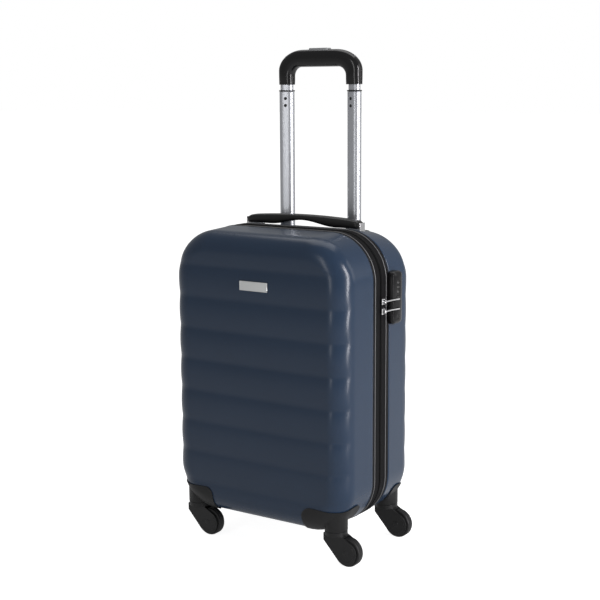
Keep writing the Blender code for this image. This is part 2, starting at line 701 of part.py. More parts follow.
def tube_outline(grow):
    # The trolley tubes' section: a long oval, two half rounds joined by flats.
    half_x, half_y = STAGE_SIZE[0] / 2 + grow, STAGE_SIZE[1] / 2 + grow
    flat = half_x - half_y
    return arc((flat, 0), half_y, -90, 90, 6) + arc((-flat, 0), half_y, 90, 270, 6)


def placed(points, hand):
    # The section turned and moved to the left tube, hand -1, or the right tube, hand 1.
    turn = -hand * TUBE_TURN
    cos, sin = math.cos(turn), math.sin(turn)
    return [(hand * TUBE_X + x * cos - y * sin, TUBE_Y + x * sin + y * cos) for x, y in points]


def tube(name, hand, grow, wall, low, high, frame, finish):
    loops = [placed(tube_outline(grow), hand)]
    if wall:
        loops.append(placed(tube_outline(grow - wall), hand)[::-1])
    return plate(name, loops, low, high, "Z", frame, finish)


def make_trolley():
    stage = joint_frame("trolley_stage_axis", (0, TUBE_Y, STAGE_TOP), suitcase)
    grip = joint_frame("trolley_grip_axis", (0, TUBE_Y, GRIP_TOP), stage)
    release = joint_frame("trolley_release_axis", (0, TUBE_Y, GRIP_TOP), grip)
    hands = ((-1, "left"), (1, "right"))
    bezel_bottom = BEZEL_TOP - BEZEL_DEPTH
    bezel = block(
        "trolley_bezel", (-BEZEL_HALF_LENGTH, TUBE_Y - BEZEL_WIDTH / 2, bezel_bottom),
        (BEZEL_HALF_LENGTH, TUBE_Y + BEZEL_WIDTH / 2, BEZEL_TOP), suitcase,
        "black_plastic", BEZEL_EDGE, 3, keep=lambda co: abs(co.x) > BEZEL_HALF_LENGTH - 1e-6,
    )
    foot = block(
        "trolley_foot_block",
        (-TUBE_X - FOOT_BLOCK_MARGIN[0], TUBE_Y - FOOT_BLOCK_MARGIN[1], GUIDE_BOTTOM),
        (TUBE_X + FOOT_BLOCK_MARGIN[0], TUBE_Y + FOOT_BLOCK_MARGIN[1],
         GUIDE_BOTTOM + FOOT_BLOCK_HEIGHT), suitcase,
        "black_plastic", FOOT_BLOCK_EDGE, 1,
    )
    guide_grow = TUBE_CLEARANCE + TUBE_WALL
    inner_grow = -TUBE_WALL - TUBE_CLEARANCE
    seat_bottom = GUIDE_BOTTOM + FOOT_BLOCK_FLOOR
    for hand, name in hands:
        tube(
            f"guide_tube_{name}", hand, guide_grow, TUBE_WALL, seat_bottom + GAP,
            bezel_bottom - GAP, suitcase, "aluminium",
        )
        boolean(foot, tube(
            f"guide_seat_{name}", hand, guide_grow + GAP, 0, seat_bottom,
            GUIDE_BOTTOM + FOOT_BLOCK_HEIGHT + 0.001, suitcase, None,
        ))
        boolean(bezel, tube(
            f"bezel_hole_{name}", hand, TUBE_CLEARANCE, 0, bezel_bottom - 0.001,
            BEZEL_TOP + 0.001, suitcase, None,
        ))
        outer = tube(
            f"stage_tube_{name}", hand, 0, TUBE_WALL, STAGE_BOTTOM,
            STAGE_TOP - COLLAR_HEIGHT - GAP, stage, "aluminium",
        )
        for drop in LOCK_HOLE_DROPS:
            height = STAGE_TOP - drop
            facing = Matrix.Rotation(-hand * TUBE_TURN, 4, "Z")
            bore = rod(
                f"lock_hole_{name}_{drop}", (0, 0, 0), LOCK_HOLE_RADIUS, STAGE_SIZE[1] / 2,
                "Y", stage, None, sides=12,
            )
            bore.data.transform(Matrix.Translation(frame_place(stage)))
            front = Vector((0, -STAGE_SIZE[1] / 2, 0))
            bore.data.transform(
                Matrix.Translation((hand * TUBE_X, TUBE_Y, height)) @ facing
                @ Matrix.Translation(front)
            )
            bore.data.transform(Matrix.Translation(-frame_place(stage)))
            boolean(outer, bore)
        tube(
            f"stage_collar_{name}", hand, COLLAR_PROUD, TUBE_WALL + COLLAR_PROUD,
            STAGE_TOP - COLLAR_HEIGHT, STAGE_TOP, stage, "black_plastic",
        )
        tube(
            f"grip_tube_{name}", hand, inner_grow, TUBE_WALL, INNER_BOTTOM,
            GRIP_BOTTOM + GRIP_LAP, grip, "aluminium",
        )
    make_grip(grip, release, inner_grow)


def grip_outline():
    # An arch seen from the front: two legs, and a bar with round shoulders.
    outer, inner = GRIP_HALF_WIDTH, GRIP_HALF_WIDTH - GRIP_LEG
    reach, drop = GRIP_CORNER
    under = GRIP_TOP - GRIP_BAR
    quarter = arc((0, 0), 1.0, 0, 90, 7)
    right = [(outer - reach * (1 - u), GRIP_TOP - drop * (1 - v)) for u, v in quarter]
    crown = right + [(-x, z) for x, z in right[::-1]]
    loop = [(outer, GRIP_BOTTOM)] + crown + [(-outer, GRIP_BOTTOM), (-inner, GRIP_BOTTOM)]
    corner = GRIP_INNER_CORNER
    loop += arc((-inner + corner, under - corner), corner, 180, 90, 5)
    loop += arc((inner - corner, under - corner), corner, 90, 0, 5)
    return loop + [(inner, GRIP_BOTTOM)]


def make_grip(grip, release, inner_grow):
    halves = []
    for side, name in ((-1, "front"), (1, "rear")):
        ys = sorted((TUBE_Y + side * GAP / 2, TUBE_Y + side * GRIP_DEPTH / 2))
        half = plate(
            f"grip_{name}", [grip_outline()], ys[0], ys[1], "Y", grip, "gloss_black"
        )
        soften = half.modifiers.new("soft_edges", "BEVEL")
        soften.width = GRIP_EDGE
        soften.segments = 3
        soften.limit_method = "WEIGHT"
        mark_outer_edges(half, TUBE_Y + side * GRIP_DEPTH / 2 - frame_place(grip).y)
        halves.append(half)
    bar_top = GRIP_TOP - BUTTON_DEPTH
    bar_half = TUBE_X + ROD_SIZE / 2
    room = block(
        "release_bar_room",
        (-bar_half - 2 * GAP, TUBE_Y - ROD_SIZE, bar_top - ROD_SIZE - RELEASE_TRAVEL - 2 * GAP),
        (bar_half + 2 * GAP, TUBE_Y + ROD_SIZE, bar_top + 2 * GAP), grip, None,
    )
    well = block(
        "release_button_well",
        (-RELEASE_LENGTH / 2 - GAP, TUBE_Y - RELEASE_WIDTH / 2 - GAP, bar_top - 0.001),
        (RELEASE_LENGTH / 2 + GAP, TUBE_Y + RELEASE_WIDTH / 2 + GAP, GRIP_TOP + 0.002), grip, None,
    )
    for half in halves:
        boolean(half, room)
        boolean(half, well)
        for hand in (-1, 1):
            cut_leg(half, hand, grip, inner_grow, bar_top)
    block(
        "trolley_release_button",
        (-RELEASE_LENGTH / 2, TUBE_Y - RELEASE_WIDTH / 2, bar_top + RELEASE_TRAVEL + GAP),
        (RELEASE_LENGTH / 2, TUBE_Y + RELEASE_WIDTH / 2, GRIP_TOP + RELEASE_PROUD), release,
        "button_grey", RELEASE_EDGE, 2, keep=lambda co: co.z > GRIP_TOP,
    )
    rods = block(
        "trolley_release_rods", (-bar_half, TUBE_Y - ROD_SIZE / 2, bar_top - ROD_SIZE),
        (bar_half, TUBE_Y + ROD_SIZE / 2, bar_top), release, "steel",
    )
    for hand in (-1, 1):
        leg = block(
            f"release_rod_leg_{hand}",
            (hand * TUBE_X - ROD_SIZE / 2, TUBE_Y - ROD_SIZE / 2, INNER_BOTTOM + 0.006),
            (hand * TUBE_X + ROD_SIZE / 2, TUBE_Y + ROD_SIZE / 2, bar_top - ROD_SIZE / 2),
            release, None,
        )
        boolean(rods, leg, "UNION")


def mark_outer_edges(piece, outer_y):
    # Only the edges of the outer face are rounded, so that the halves meet flush.
    weights = piece.data.attributes.new("bevel_weight_edge", "FLOAT", "EDGE")
    for edge in piece.data.edges:
        ends = [piece.data.vertices[i].co.y for i in edge.vertices]
        outside = all(abs(y - outer_y) < 1e-6 for y in ends)
        bottom = all(abs(piece.data.vertices[i].co.z - (GRIP_BOTTOM - GRIP_TOP)) < 1e-6
                     for i in edge.vertices)
        weights.data[edge.index].value = 1.0 if outside and not bottom else 0.0


def cut_leg(half, hand, grip, inner_grow, bar_top):
    # A socket for the inner tube, and above it a way for the release rod.
    suffix = f"{half.name}_{hand}"
    boolean(half, tube(
        "leg_socket_" + suffix, hand, inner_grow + GAP, 0, GRIP_BOTTOM - 0.001,
        GRIP_BOTTOM + GRIP_LAP + GAP, grip, None,
    ))
    boolean(half, block(
        "rod_way_" + suffix,
        (hand * TUBE_X - ROD_SIZE, TUBE_Y - ROD_SIZE, GRIP_BOTTOM + GRIP_LAP - 0.001),
        (hand * TUBE_X + ROD_SIZE, TUBE_Y + ROD_SIZE, bar_top - ROD_SIZE), grip, None,
    ))


def tangent_angle(centre, radius, point, sense):
    # Direction, in degrees, from a circle's centre to where the line from a point touches it.
    dx, dz = point[0] - centre[0], point[1] - centre[1]
    swing = math.acos(radius / math.hypot(dx, dz))
    return math.degrees(math.atan2(dz, dx) + sense * swing)


def make_caster(corner, hand, side, parent):
    # One swivel wheel. hand is -1 on the left and 1 on the right.
    x, y = hand * SWIVEL_X, side * SWIVEL_Y
    make_housing(corner, hand, side, parent)
    swivel = joint_frame(f"swivel_{corner}", (x, y, SPLIT_HEIGHT), parent)
    axle_x = x + TRAIL
    roll = joint_frame(f"roll_{corner}", (axle_x, y, WHEEL_RADIUS), swivel)
    half_width = WHEEL_WIDTH / 2 + CHEEK_CLEARANCE + CHEEK_THICKNESS
    centre = (axle_x, WHEEL_RADIUS)
    left = (x - NECK_RADIUS + 4 * GAP, WHEEL_RADIUS + 0.016)
    right = (x + 0.013, NECK_ROOF - 0.0015)
    start = tangent_angle(centre, CHEEK_RADIUS, left, 1)
    end = tangent_angle(centre, CHEEK_RADIUS, right, -1)
    around = arc(centre, CHEEK_RADIUS, start, end + 360, 18)
    roof_z = NECK_ROOF + 0.002
    outline = [(left[0], roof_z), left] + around + [(right[0], roof_z)]
    fork = plate(
        f"caster_fork_{corner}", [outline], y - half_width, y + half_width, "Y",
        swivel, "black_plastic",
    )
    neck_top = SPLIT_HEIGHT - GAP
    boolean(fork, rod(
        f"fork_neck_{corner}", (x, y, (NECK_ROOF + neck_top) / 2), NECK_RADIUS - GAP,
        neck_top - NECK_ROOF, "Z", swivel, None,
    ), "UNION")
    boolean(fork, rod(
        f"fork_stem_{corner}", (x, y, neck_top + (STEM_HEIGHT - 0.004) / 2), STEM_RADIUS,
        STEM_HEIGHT + 0.004, "Z", swivel, None, sides=16,
    ), "UNION")
    boolean(fork, rod(
        f"wheel_slot_{corner}", (axle_x, y, WHEEL_RADIUS), WHEEL_RADIUS + 0.0009,
        WHEEL_WIDTH + 2 * CHEEK_CLEARANCE, "Y", swivel, None, sides=32,
    ))
    boolean(fork, rod(
        f"axle_hole_{corner}", (axle_x, y, WHEEL_RADIUS), AXLE_RADIUS + GAP,
        2 * half_width + 0.002, "Y", swivel, None, sides=16,
    ))
    rod(
        f"caster_axle_{corner}", (axle_x, y, WHEEL_RADIUS), AXLE_RADIUS, 2 * half_width,
        "Y", swivel, "steel", sides=16,
    )
    # A flat of the wheel's rim lies on the floor.
    corner_radius = WHEEL_RADIUS / math.cos(math.pi / WHEEL_SIDES)
    wheel = rod(
        f"caster_wheel_{corner}", (axle_x, y, WHEEL_RADIUS), corner_radius, WHEEL_WIDTH, "Y",
        roll, "tyre_black", sides=WHEEL_SIDES, turn=math.pi / WHEEL_SIDES,
    )
    boolean(wheel, rod(
        f"wheel_bore_{corner}", (axle_x, y, WHEEL_RADIUS), AXLE_RADIUS + GAP,
        WHEEL_WIDTH + 0.002, "Y", roll, None, sides=16,
    ))


def lobe_outline(inner, outer, bottom):
    # The wavy top edge of a housing: a round lobe at its inner end, a dip, and a rise.
    lobe = 0.0150
    top = SKIN_TOP
    start = arc((inner + lobe, top - lobe), lobe, 180, 95, 5)
    return [(outer, bottom), (inner, bottom)] + start + [
        (inner + 2.6 * lobe, top - 0.0012), (inner + 3.6 * lobe, top - 0.0010), (outer, top + 0.006),
    ]


def make_housing(corner, hand, side, parent):
    # A plastic corner: a skin over the shell, and a turret that carries the swivel.
    x, y = hand * SWIVEL_X, side * SWIVEL_Y
    depth = FRONT_DEPTH if side < 0 else REAR_DEPTH
    bottom = SHELL_BOTTOM - 2 * SKIN
    housing = core(f"wheel_housing_{corner}", side, SKIN, BAND_HALF + 0.010, parent, "black_plastic")
    front = [(hand * u, v) for u, v in lobe_outline(SKIN_INNER_X, SIDE_X + 0.010, bottom)]
    ys = sorted((side * (SWIVEL_Y + 0.004), side * (depth + 0.010)))
    region = plate(f"front_lobe_{corner}", [front], ys[0], ys[1], "Y", parent, None)
    flank_inner = depth - 0.058
    flank = lobe_outline(flank_inner, depth + 0.010, bottom)
    flank = [(side * u, v) for u, v in flank]
    xs = sorted((hand * (SWIVEL_X + 0.012), hand * (SIDE_X + 0.010)))
    boolean(region, plate(
        f"side_lobe_{corner}", [flank], xs[0], xs[1], "X", parent, None,
    ), "UNION")
    boolean(housing, region, "INTERSECT")
    boolean(housing, rod(
        f"swivel_room_{corner}", (x, y, SPLIT_HEIGHT / 2), NECK_RADIUS + 2 * GAP,
        SPLIT_HEIGHT + 2 * GAP, "Z", parent, None, sides=28,
    ))
    neck_top = SKIN_TOP - 0.010
    boolean(housing, rod(
        f"housing_neck_{corner}", (x, y, (SPLIT_HEIGHT + neck_top) / 2), NECK_RADIUS,
        neck_top - SPLIT_HEIGHT, "Z", parent, None,
    ), "UNION")
    boolean(housing, core(f"housing_seat_{corner}", side, GAP, BAND_HALF - 0.001, parent))
    boolean(housing, rod(
        f"turret_{corner}", (x, y, (SPLIT_HEIGHT + GAP + TURRET_TOP) / 2), NECK_RADIUS - GAP,
        TURRET_TOP - SPLIT_HEIGHT - GAP, "Z", parent, None,
    ), "UNION")
    boolean(housing, rod(
        f"stem_bore_{corner}", (x, y, SPLIT_HEIGHT), STEM_RADIUS + GAP,
        2 * (STEM_HEIGHT + GAP), "Z", parent, None, sides=16,
    ))


def trolley_boxes(cover):
    # The room that the trolley takes inside the rear half, grown by a cover: a ridge for
    # each tube, the foot block and the bezel.
    back = REAR_DEPTH + 0.010
    ridge = STAGE_SIZE[0] / 2 + TUBE_CLEARANCE + TUBE_WALL + cover
    front = TUBE_Y - STAGE_SIZE[0] / 2 - cover
    foot_top = GUIDE_BOTTOM + FOOT_BLOCK_HEIGHT + cover
    bezel_low = BEZEL_TOP - BEZEL_DEPTH - cover
    bezel_front = TUBE_Y - BEZEL_WIDTH / 2 - cover
    boxes = [
        ((hand * TUBE_X - ridge, front, 0.0), (hand * TUBE_X + ridge, back, SHELL_TOP + 0.02))
        for hand in (-1, 1)
    ]
    foot_half, bezel_half = TUBE_X + FOOT_BLOCK_MARGIN[0] + cover, BEZEL_HALF_LENGTH + cover
    boxes.append(((-foot_half, front - 0.002, 0.001), (foot_half, back + 0.002, foot_top)))
    boxes.append(((-bezel_half, bezel_front, bezel_low), (bezel_half, back + 0.004, SHELL_TOP + 0.03)))
    return boxes


def make_lining(name, side, frame):
    # A fabric cup just inside the shell. In the rear half it runs over the trolley.
    inset = WALL + PILLOW_RELIEF + LINING_GAP
    lining = core(f"{name}_lining", side, -inset, LINING_RIM, frame, "lining_grey")
    hollow = core(
        f"{name}_lining_hollow", side, -inset - LINING_THICKNESS, LINING_RIM - 0.002, frame
    )
    if side > 0:
        for piece, cover in ((lining, LINING_GAP), (hollow, LINING_GAP + LINING_THICKNESS)):
            for i, (low, high) in enumerate(trolley_boxes(cover)):
                boolean(piece, block(f"trolley_room_{piece.name}_{i}", low, high, frame, None))
    boolean(lining, hollow)
    return lining


def make_inside(lid):
    front = make_lining("front", -1, lid)
    rear = make_lining("rear", 1, suitcase)
    for side, lining, frame in ((-1, front, lid), (1, rear, suitcase)):
        for hand in (-1, 1):
            boolean(lining, rod(
                f"lining_turret_{lining.name}_{hand}",
                (hand * SWIVEL_X, side * SWIVEL_Y, TURRET_TOP / 2),
                NECK_RADIUS + LINING_GAP, TURRET_TOP + 2 * LINING_GAP, "Z", frame, None, sides=20,
            ))
    make_straps()


def make_straps():
    # Two webbing straps from the rear half's floor and ceiling to a side-release buckle.
    inset = WALL + PILLOW_RELIEF + LINING_GAP + LINING_THICKNESS + GAP
    low, high = SHELL_BOTTOM + inset, SHELL_TOP - inset
    middle = (low + high) / 2
    half_buckle = BUCKLE_SIZE[2] / 2
    runs = {
        "packing_strap_lower": (low, middle - half_buckle - GAP),
        "packing_strap_upper": (middle + half_buckle + GAP, high),
    }
    for name, (bottom, top) in runs.items():
        block(
            name, (-STRAP_WIDTH / 2, STRAP_Y, bottom),
            (STRAP_WIDTH / 2, STRAP_Y + STRAP_THICKNESS, top), suitcase, "strap_black",
        )
    front_y = STRAP_Y + STRAP_THICKNESS / 2 - BUCKLE_SIZE[1] / 2
    socket = block(
        "buckle_socket", (-BUCKLE_SIZE[0] / 2, front_y, middle - half_buckle),
        (BUCKLE_SIZE[0] / 2, front_y + BUCKLE_SIZE[1], middle + GAP), suitcase,
        "black_plastic", BUCKLE_EDGE, 1,
    )
    tongue = [size * share / 2 for size, share in zip(BUCKLE_SIZE, TONGUE_SHARES)]
    tongue_low = middle - half_buckle * TONGUE_REACH
    centre_y = front_y + BUCKLE_SIZE[1] / 2
    boolean(socket, block(
        "tongue_room", (-tongue[0] - GAP, centre_y - tongue[1] - GAP, tongue_low - GAP),
        (tongue[0] + GAP, centre_y + tongue[1] + GAP, middle + 0.002), suitcase, None,
    ))
    plug = block(
        "buckle_plug", (-BUCKLE_SIZE[0] / 2, front_y, middle + 2 * GAP),
        (BUCKLE_SIZE[0] / 2, front_y + BUCKLE_SIZE[1], middle + half_buckle), suitcase,
        "black_plastic", BUCKLE_EDGE, 1,
    )
    boolean(plug, block(
        "buckle_tongue", (-tongue[0], centre_y - tongue[1], tongue_low),
        (tongue[0], centre_y + tongue[1], middle + 0.004), suitcase, None,
    ), "UNION")


lid_frame = joint_frame("lid_axis", (HINGE_X, 0, SHELL_BOTTOM + SHELL_HEIGHT / 2), suitcase)
make_cases(lid_frame)
make_zip(lid_frame)
make_sliders()
make_lock()
make_badge(lid_frame)
make_carry_handle()
make_trolley()
make_inside(lid_frame)
for side_name, side_sign, carrier in (("front", -1, lid_frame), ("rear", 1, suitcase)):
    for hand_name, hand_sign in (("left", -1), ("right", 1)):
        make_caster(f"{side_name}_{hand_name}", hand_sign, side_sign, carrier)
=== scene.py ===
# A cabin suitcase with a hard shell, four swivel wheels and a trolley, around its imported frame.
# Metres, z up. The zip's middle is the plane y = 0, with the front half at -y, the rear at +y.
import math

import bmesh
import bpy
import numpy as np
from mathutils import Matrix, Vector


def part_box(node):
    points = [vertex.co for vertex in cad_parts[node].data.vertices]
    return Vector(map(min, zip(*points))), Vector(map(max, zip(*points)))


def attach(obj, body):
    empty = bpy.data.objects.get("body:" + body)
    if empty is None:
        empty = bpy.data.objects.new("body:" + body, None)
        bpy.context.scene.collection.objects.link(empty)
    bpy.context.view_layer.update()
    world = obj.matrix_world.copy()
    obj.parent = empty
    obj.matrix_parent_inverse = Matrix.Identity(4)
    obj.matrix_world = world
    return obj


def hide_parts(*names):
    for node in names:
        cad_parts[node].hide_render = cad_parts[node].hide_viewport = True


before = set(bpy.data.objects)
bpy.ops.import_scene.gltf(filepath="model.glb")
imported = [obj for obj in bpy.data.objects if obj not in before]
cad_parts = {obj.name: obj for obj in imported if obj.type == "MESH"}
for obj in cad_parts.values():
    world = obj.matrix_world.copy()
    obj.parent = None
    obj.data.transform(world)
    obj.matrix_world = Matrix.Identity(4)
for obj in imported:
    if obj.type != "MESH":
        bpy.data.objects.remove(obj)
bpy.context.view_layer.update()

print("frame loaded:", len(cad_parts), "nodes")


# Mesh tools: a shape is its points and a list of face arrays, worked out whole.

def gridShape(points, wrapRows=False, wrapColumns=False):
    # A grid of points, rows by columns, joined into quads; a wrapped side closes on itself.
    rows, columns = points.shape[:2]
    index = np.arange(rows * columns).reshape(rows, columns)
    if wrapRows:
        index = np.vstack([index, index[:1]])
    if wrapColumns:
        index = np.hstack([index, index[:, :1]])
    quads = np.stack([index[:-1, :-1], index[:-1, 1:], index[1:, 1:], index[1:, :-1]], axis=-1)
    return points.reshape(-1, 3), [quads.reshape(-1, 4)]


def cappedShape(rings, poles=False):
    # Closed rings of points stacked into a tube, with a flat face on each end or a point.
    points, faces = gridShape(rings, wrapColumns=True)
    count = rings.shape[1]
    last = len(points) - count
    if not poles:
        faces = faces + [np.arange(count)[None, ::-1], (last + np.arange(count))[None]]
    return points, faces


def joined(shapes):
    # Several shapes as one: the later ones' indices are moved up past the earlier points.
    points, faces, start = [], [], 0
    for shapePoints, shapeFaces in shapes:
        points.append(shapePoints)
        faces += [f + start for f in shapeFaces]
        start += len(shapePoints)
    return np.concatenate(points), faces


def turnedShape(profile, centre, axis="z", steps=32):
    # Radius and height pairs turned once round an axis through centre.
    profile = np.asarray(profile, float)
    angle = np.arange(steps) * 2 * math.pi / steps
    r, h = profile[:, :1], profile[:, 1:]
    a, b, c = r * np.cos(angle), r * np.sin(angle), h + 0 * angle
    order = {"x": (c, a, b), "y": (b, c, a), "z": (a, b, c)}[axis]
    rings = np.stack(order, axis=-1) + np.asarray(centre, float)
    closed = profile[0, 0] < 1e-9 and profile[-1, 0] < 1e-9
    return cappedShape(rings, poles=closed)


def alongPath(path, section, side):
    # A section of (across, up) pairs carried along a path. Across is side, less its share
    # along the path, and up is across crossed with the path's direction.
    path, section = np.asarray(path, float), np.asarray(section, float)
    ahead = np.gradient(path, axis=0)
    ahead /= np.linalg.norm(ahead, axis=1)[:, None]
    across = np.broadcast_to(np.asarray(side, float), path.shape)
    across = across - (across * ahead).sum(1)[:, None] * ahead
    across = across / np.linalg.norm(across, axis=1)[:, None]
    up = np.cross(across, ahead)
    rings = path[:, None] + across[:, None] * section[None, :, :1]
    return cappedShape(rings + up[:, None] * section[None, :, 1:])


def roundBox(halfWidth, halfHeight, radius, steps=4):
    # A rounded rectangle as (across, up) pairs: four quarter circles about the inner corners.
    quarter = np.linspace(0, math.pi / 2, steps + 1)
    angle = np.concatenate([quarter + k * math.pi / 2 for k in range(4)])
    corner = np.repeat([(1, 1), (-1, 1), (-1, -1), (1, -1)], steps + 1, axis=0)
    inner = np.array([halfWidth - radius, halfHeight - radius])
    return corner * inner + radius * np.stack([np.cos(angle), np.sin(angle)], -1)


def arcPoints(centre, radius, start, end, steps):
    # Points on a circle from one angle to another, in degrees, both included.
    angle = np.radians(np.linspace(start, end, steps + 1))
    return np.stack([centre[0] + radius * np.cos(angle), centre[1] + radius * np.sin(angle)], -1)


def insetOutline(outline, distance):
    # A closed outline moved inwards by a distance, along the mean of its two edges' normals.
    before = outline - np.roll(outline, 1, 0)
    after = np.roll(outline, -1, 0) - outline
    normals = []
    for edge in (before, after):
        edge = edge / np.linalg.norm(edge, axis=1)[:, None]
        normals.append(np.stack([edge[:, 1], -edge[:, 0]], -1))
    middle = normals[0] + normals[1]
    middle /= (1 + (normals[0] * normals[1]).sum(1))[:, None].clip(0.35)
    area = (
        outline[:, 0] * np.roll(outline[:, 1], -1) - np.roll(outline[:, 0], -1) * outline[:, 1]
    ).sum()
    return outline - middle * distance * (1 if area > 0 else -1)


def lifted(outline, height, axis):
    # A flat outline placed in space: (u, v) is (y, z) for x, (x, z) for y and (x, y) for z.
    u, v, h = outline[:, 0], outline[:, 1], np.full(len(outline), height)
    return np.stack({"x": (h, u, v), "y": (u, h, v), "z": (u, v, h)}[axis], axis=-1)


def slabShape(outline, low, high, edge=0.0, axis="y", steps=3):
    # A flat outline drawn from low to high, with its rims rounded: each ring goes in by
    # edge times (1 - cosine) while it goes out by edge times sine.
    outline = np.asarray(outline, float)
    angle = np.linspace(0, math.pi / 2, steps + 1) if edge else np.zeros(1)
    ins, outs = edge * (1 - np.cos(angle)), edge * (1 - np.sin(angle))
    top = [lifted(insetOutline(outline, i), high - o, axis) for i, o in zip(ins, outs)]
    bottom = [lifted(insetOutline(outline, i), low + o, axis) for i, o in zip(ins, outs)]
    return cappedShape(np.stack(bottom[::-1] + top))


def blockShape(low, high, edge, axis="z", corner=None, steps=3):
    # A box between two corners, its upright corners rounded by corner and its rims by edge.
    low, high = np.asarray(low, float), np.asarray(high, float)
    flat = {"x": [1, 2], "y": [0, 2], "z": [0, 1]}[axis]
    along = "xyz".index(axis)
    half, middle = (high - low)[flat] / 2, (high + low)[flat] / 2
    outline = roundBox(half[0], half[1], corner or edge, steps + 1) + middle
    return slabShape(outline, low[along], high[along], edge, axis, steps)


def meshOf(name, shape, sharp=35.0, solid=True):
    # One mesh from a shape. A solid one has its doubles merged and its faces turned outwards.
    points, faces = shape
    mesh = bpy.data.meshes.new(name)
    loops = np.concatenate([f.ravel() for f in faces]).astype(np.int32)
    totals = np.concatenate([np.full(len(f), f.shape[1]) for f in faces]).astype(np.int32)
    starts = np.concatenate([[0], np.cumsum(totals)[:-1]]).astype(np.int32)
    mesh.vertices.add(len(points))
    mesh.vertices.foreach_set("co", points.astype(np.float32).ravel())
    mesh.loops.add(len(loops))
    mesh.loops.foreach_set("vertex_index", loops)
    mesh.polygons.add(len(totals))
    mesh.polygons.foreach_set("loop_start", starts)
    mesh.polygons.foreach_set("loop_total", totals)
    mesh.update(calc_edges=True)
    work = bmesh.new()
    work.from_mesh(mesh)
    bmesh.ops.remove_doubles(work, verts=work.verts, dist=2e-6)
    if solid:
        bmesh.ops.recalc_face_normals(work, faces=work.faces)
    work.to_mesh(mesh)
    work.free()
    mesh.shade_smooth()
    if sharp:
        mesh.set_sharp_from_angle(angle=math.radians(sharp))
    return mesh


def addPiece(name, mesh, finish, body, stands=()):
    # The mesh becomes a piece with its finish, riding on a body and standing for CAD nodes.
    piece = bpy.data.objects.new(name, mesh)
    bpy.context.scene.collection.objects.link(piece)
    mesh.materials.clear()
    mesh.materials.append(finish)
    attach(piece, body)
    if stands:
        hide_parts(*stands)
    return piece


def addShape(name, shape, finish, body, stands=(), sharp=35.0):
    # A piece straight from a shape.
    return addPiece(name, meshOf(name, shape, sharp), finish, body, stands)


def addModifier(piece, kind, **values):
    made = piece.modifiers.new(kind.lower(), kind)
    for key, value in values.items():
        setattr(made, key, value)
    return made


def polishedCopy(name, node, finish, body, edge=0.0004, steps=2):
    # A CAD node's solid, its doubles merged and its flats joined, with softened edges.
    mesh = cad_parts[node].data.copy()
    mesh.name = name
    work = bmesh.new()
    work.from_mesh(mesh)
    bmesh.ops.remove_doubles(work, verts=work.verts, dist=1e-6)
    bmesh.ops.dissolve_limit(work, angle_limit=math.radians(1), verts=work.verts, edges=work.edges)
    work.to_mesh(mesh)
    work.free()
    mesh.shade_smooth()
    mesh.set_sharp_from_angle(angle=math.radians(35))
    piece = addPiece(name, mesh, finish, body, [node])
    addModifier(
        piece, "BEVEL", width=edge, segments=steps, limit_method="ANGLE",
        angle_limit=math.radians(35), use_clamp_overlap=True, harden_normals=False,
    )
    return piece


# Shader groups: the effects that several finishes share.

def addNode(tree, kind, values=None, **settings):
    # A node with its settings. An input takes a number, a colour or another node's socket.
    node = tree.nodes.new("ShaderNode" + kind)
    for key, value in settings.items():
        setattr(node, key, value)
    for label, value in (values or {}).items():
        if isinstance(value, bpy.types.NodeSocket):
            tree.links.new(value, node.inputs[label])
        else:
            node.inputs[label].default_value = value
    return node


def mathNode(tree, operation, *values, clamp=False):
    # A Math node over numbers or sockets.
    inputs = dict(enumerate(values))
    return addNode(tree, "Math", inputs, operation=operation, use_clamp=clamp).outputs[0]


def noiseOf(tree, vector, scale, detail, rough=0.5):
    # Noise over a vector; its scale is a number or a socket.
    values = {"Vector": vector, "Scale": scale, "Detail": detail, "Roughness": rough}
    return addNode(tree, "TexNoise", values).outputs["Fac"]


def newGroup(name, inputs, outputs):
    # A node group whose inputs are numbers with defaults, and whose outputs are numbers.
    group = bpy.data.node_groups.new(name, "ShaderNodeTree")
    for label, value in inputs.items():
        socket = group.interface.new_socket(label, in_out="INPUT", socket_type="NodeSocketFloat")
        socket.default_value = value
    for label in outputs:
        group.interface.new_socket(label, in_out="OUTPUT", socket_type="NodeSocketFloat")
    entry, leave = group.nodes.new("NodeGroupInput"), group.nodes.new("NodeGroupOutput")
    return group, entry.outputs, leave


def closeGroup(group, leave, **results):
    # Links the results to the group's outputs of the same names.
    for label, socket in results.items():
        group.links.new(socket, leave.inputs[label])
    return group


def makeGrainGroup():
    # Moulded grain: fine cells for the bump, broad clouds for the tone.
    inputs = {"Size": 900.0, "Cloud": 14.0}
    group, entry, leave = newGroup("mouldedGrain", inputs, ["Height", "Tone"])
    where = addNode(group, "TexCoord").outputs["Object"]
    fine = noiseOf(group, where, entry["Size"], 3.0, 0.6)
    broad = noiseOf(group, where, entry["Cloud"], 2.0)
    return closeGroup(group, leave, Height=fine, Tone=broad)


def makeWearGroup():
    # Edge wear: where rounded normals leave the true ones, broken up by noise.
    group, entry, leave = newGroup("edgeWear", {"Radius": 0.0008, "Amount": 1.0}, ["Mask"])
    rounded = addNode(group, "Bevel", {"Radius": entry["Radius"]}, samples=4).outputs["Normal"]
    normals = {0: rounded, 1: addNode(group, "NewGeometry").outputs["Normal"]}
    dot = addNode(group, "VectorMath", normals, operation="DOT_PRODUCT").outputs["Value"]
    edge = mathNode(group, "MULTIPLY", mathNode(group, "SUBTRACT", 1.0, dot), 6.0)
    where = addNode(group, "TexCoord").outputs["Object"]
    broken = mathNode(group, "MULTIPLY", edge, noiseOf(group, where, 260.0, 4.0))
    mask = mathNode(group, "MULTIPLY", broken, entry["Amount"], clamp=True)
    return closeGroup(group, leave, Mask=mask)


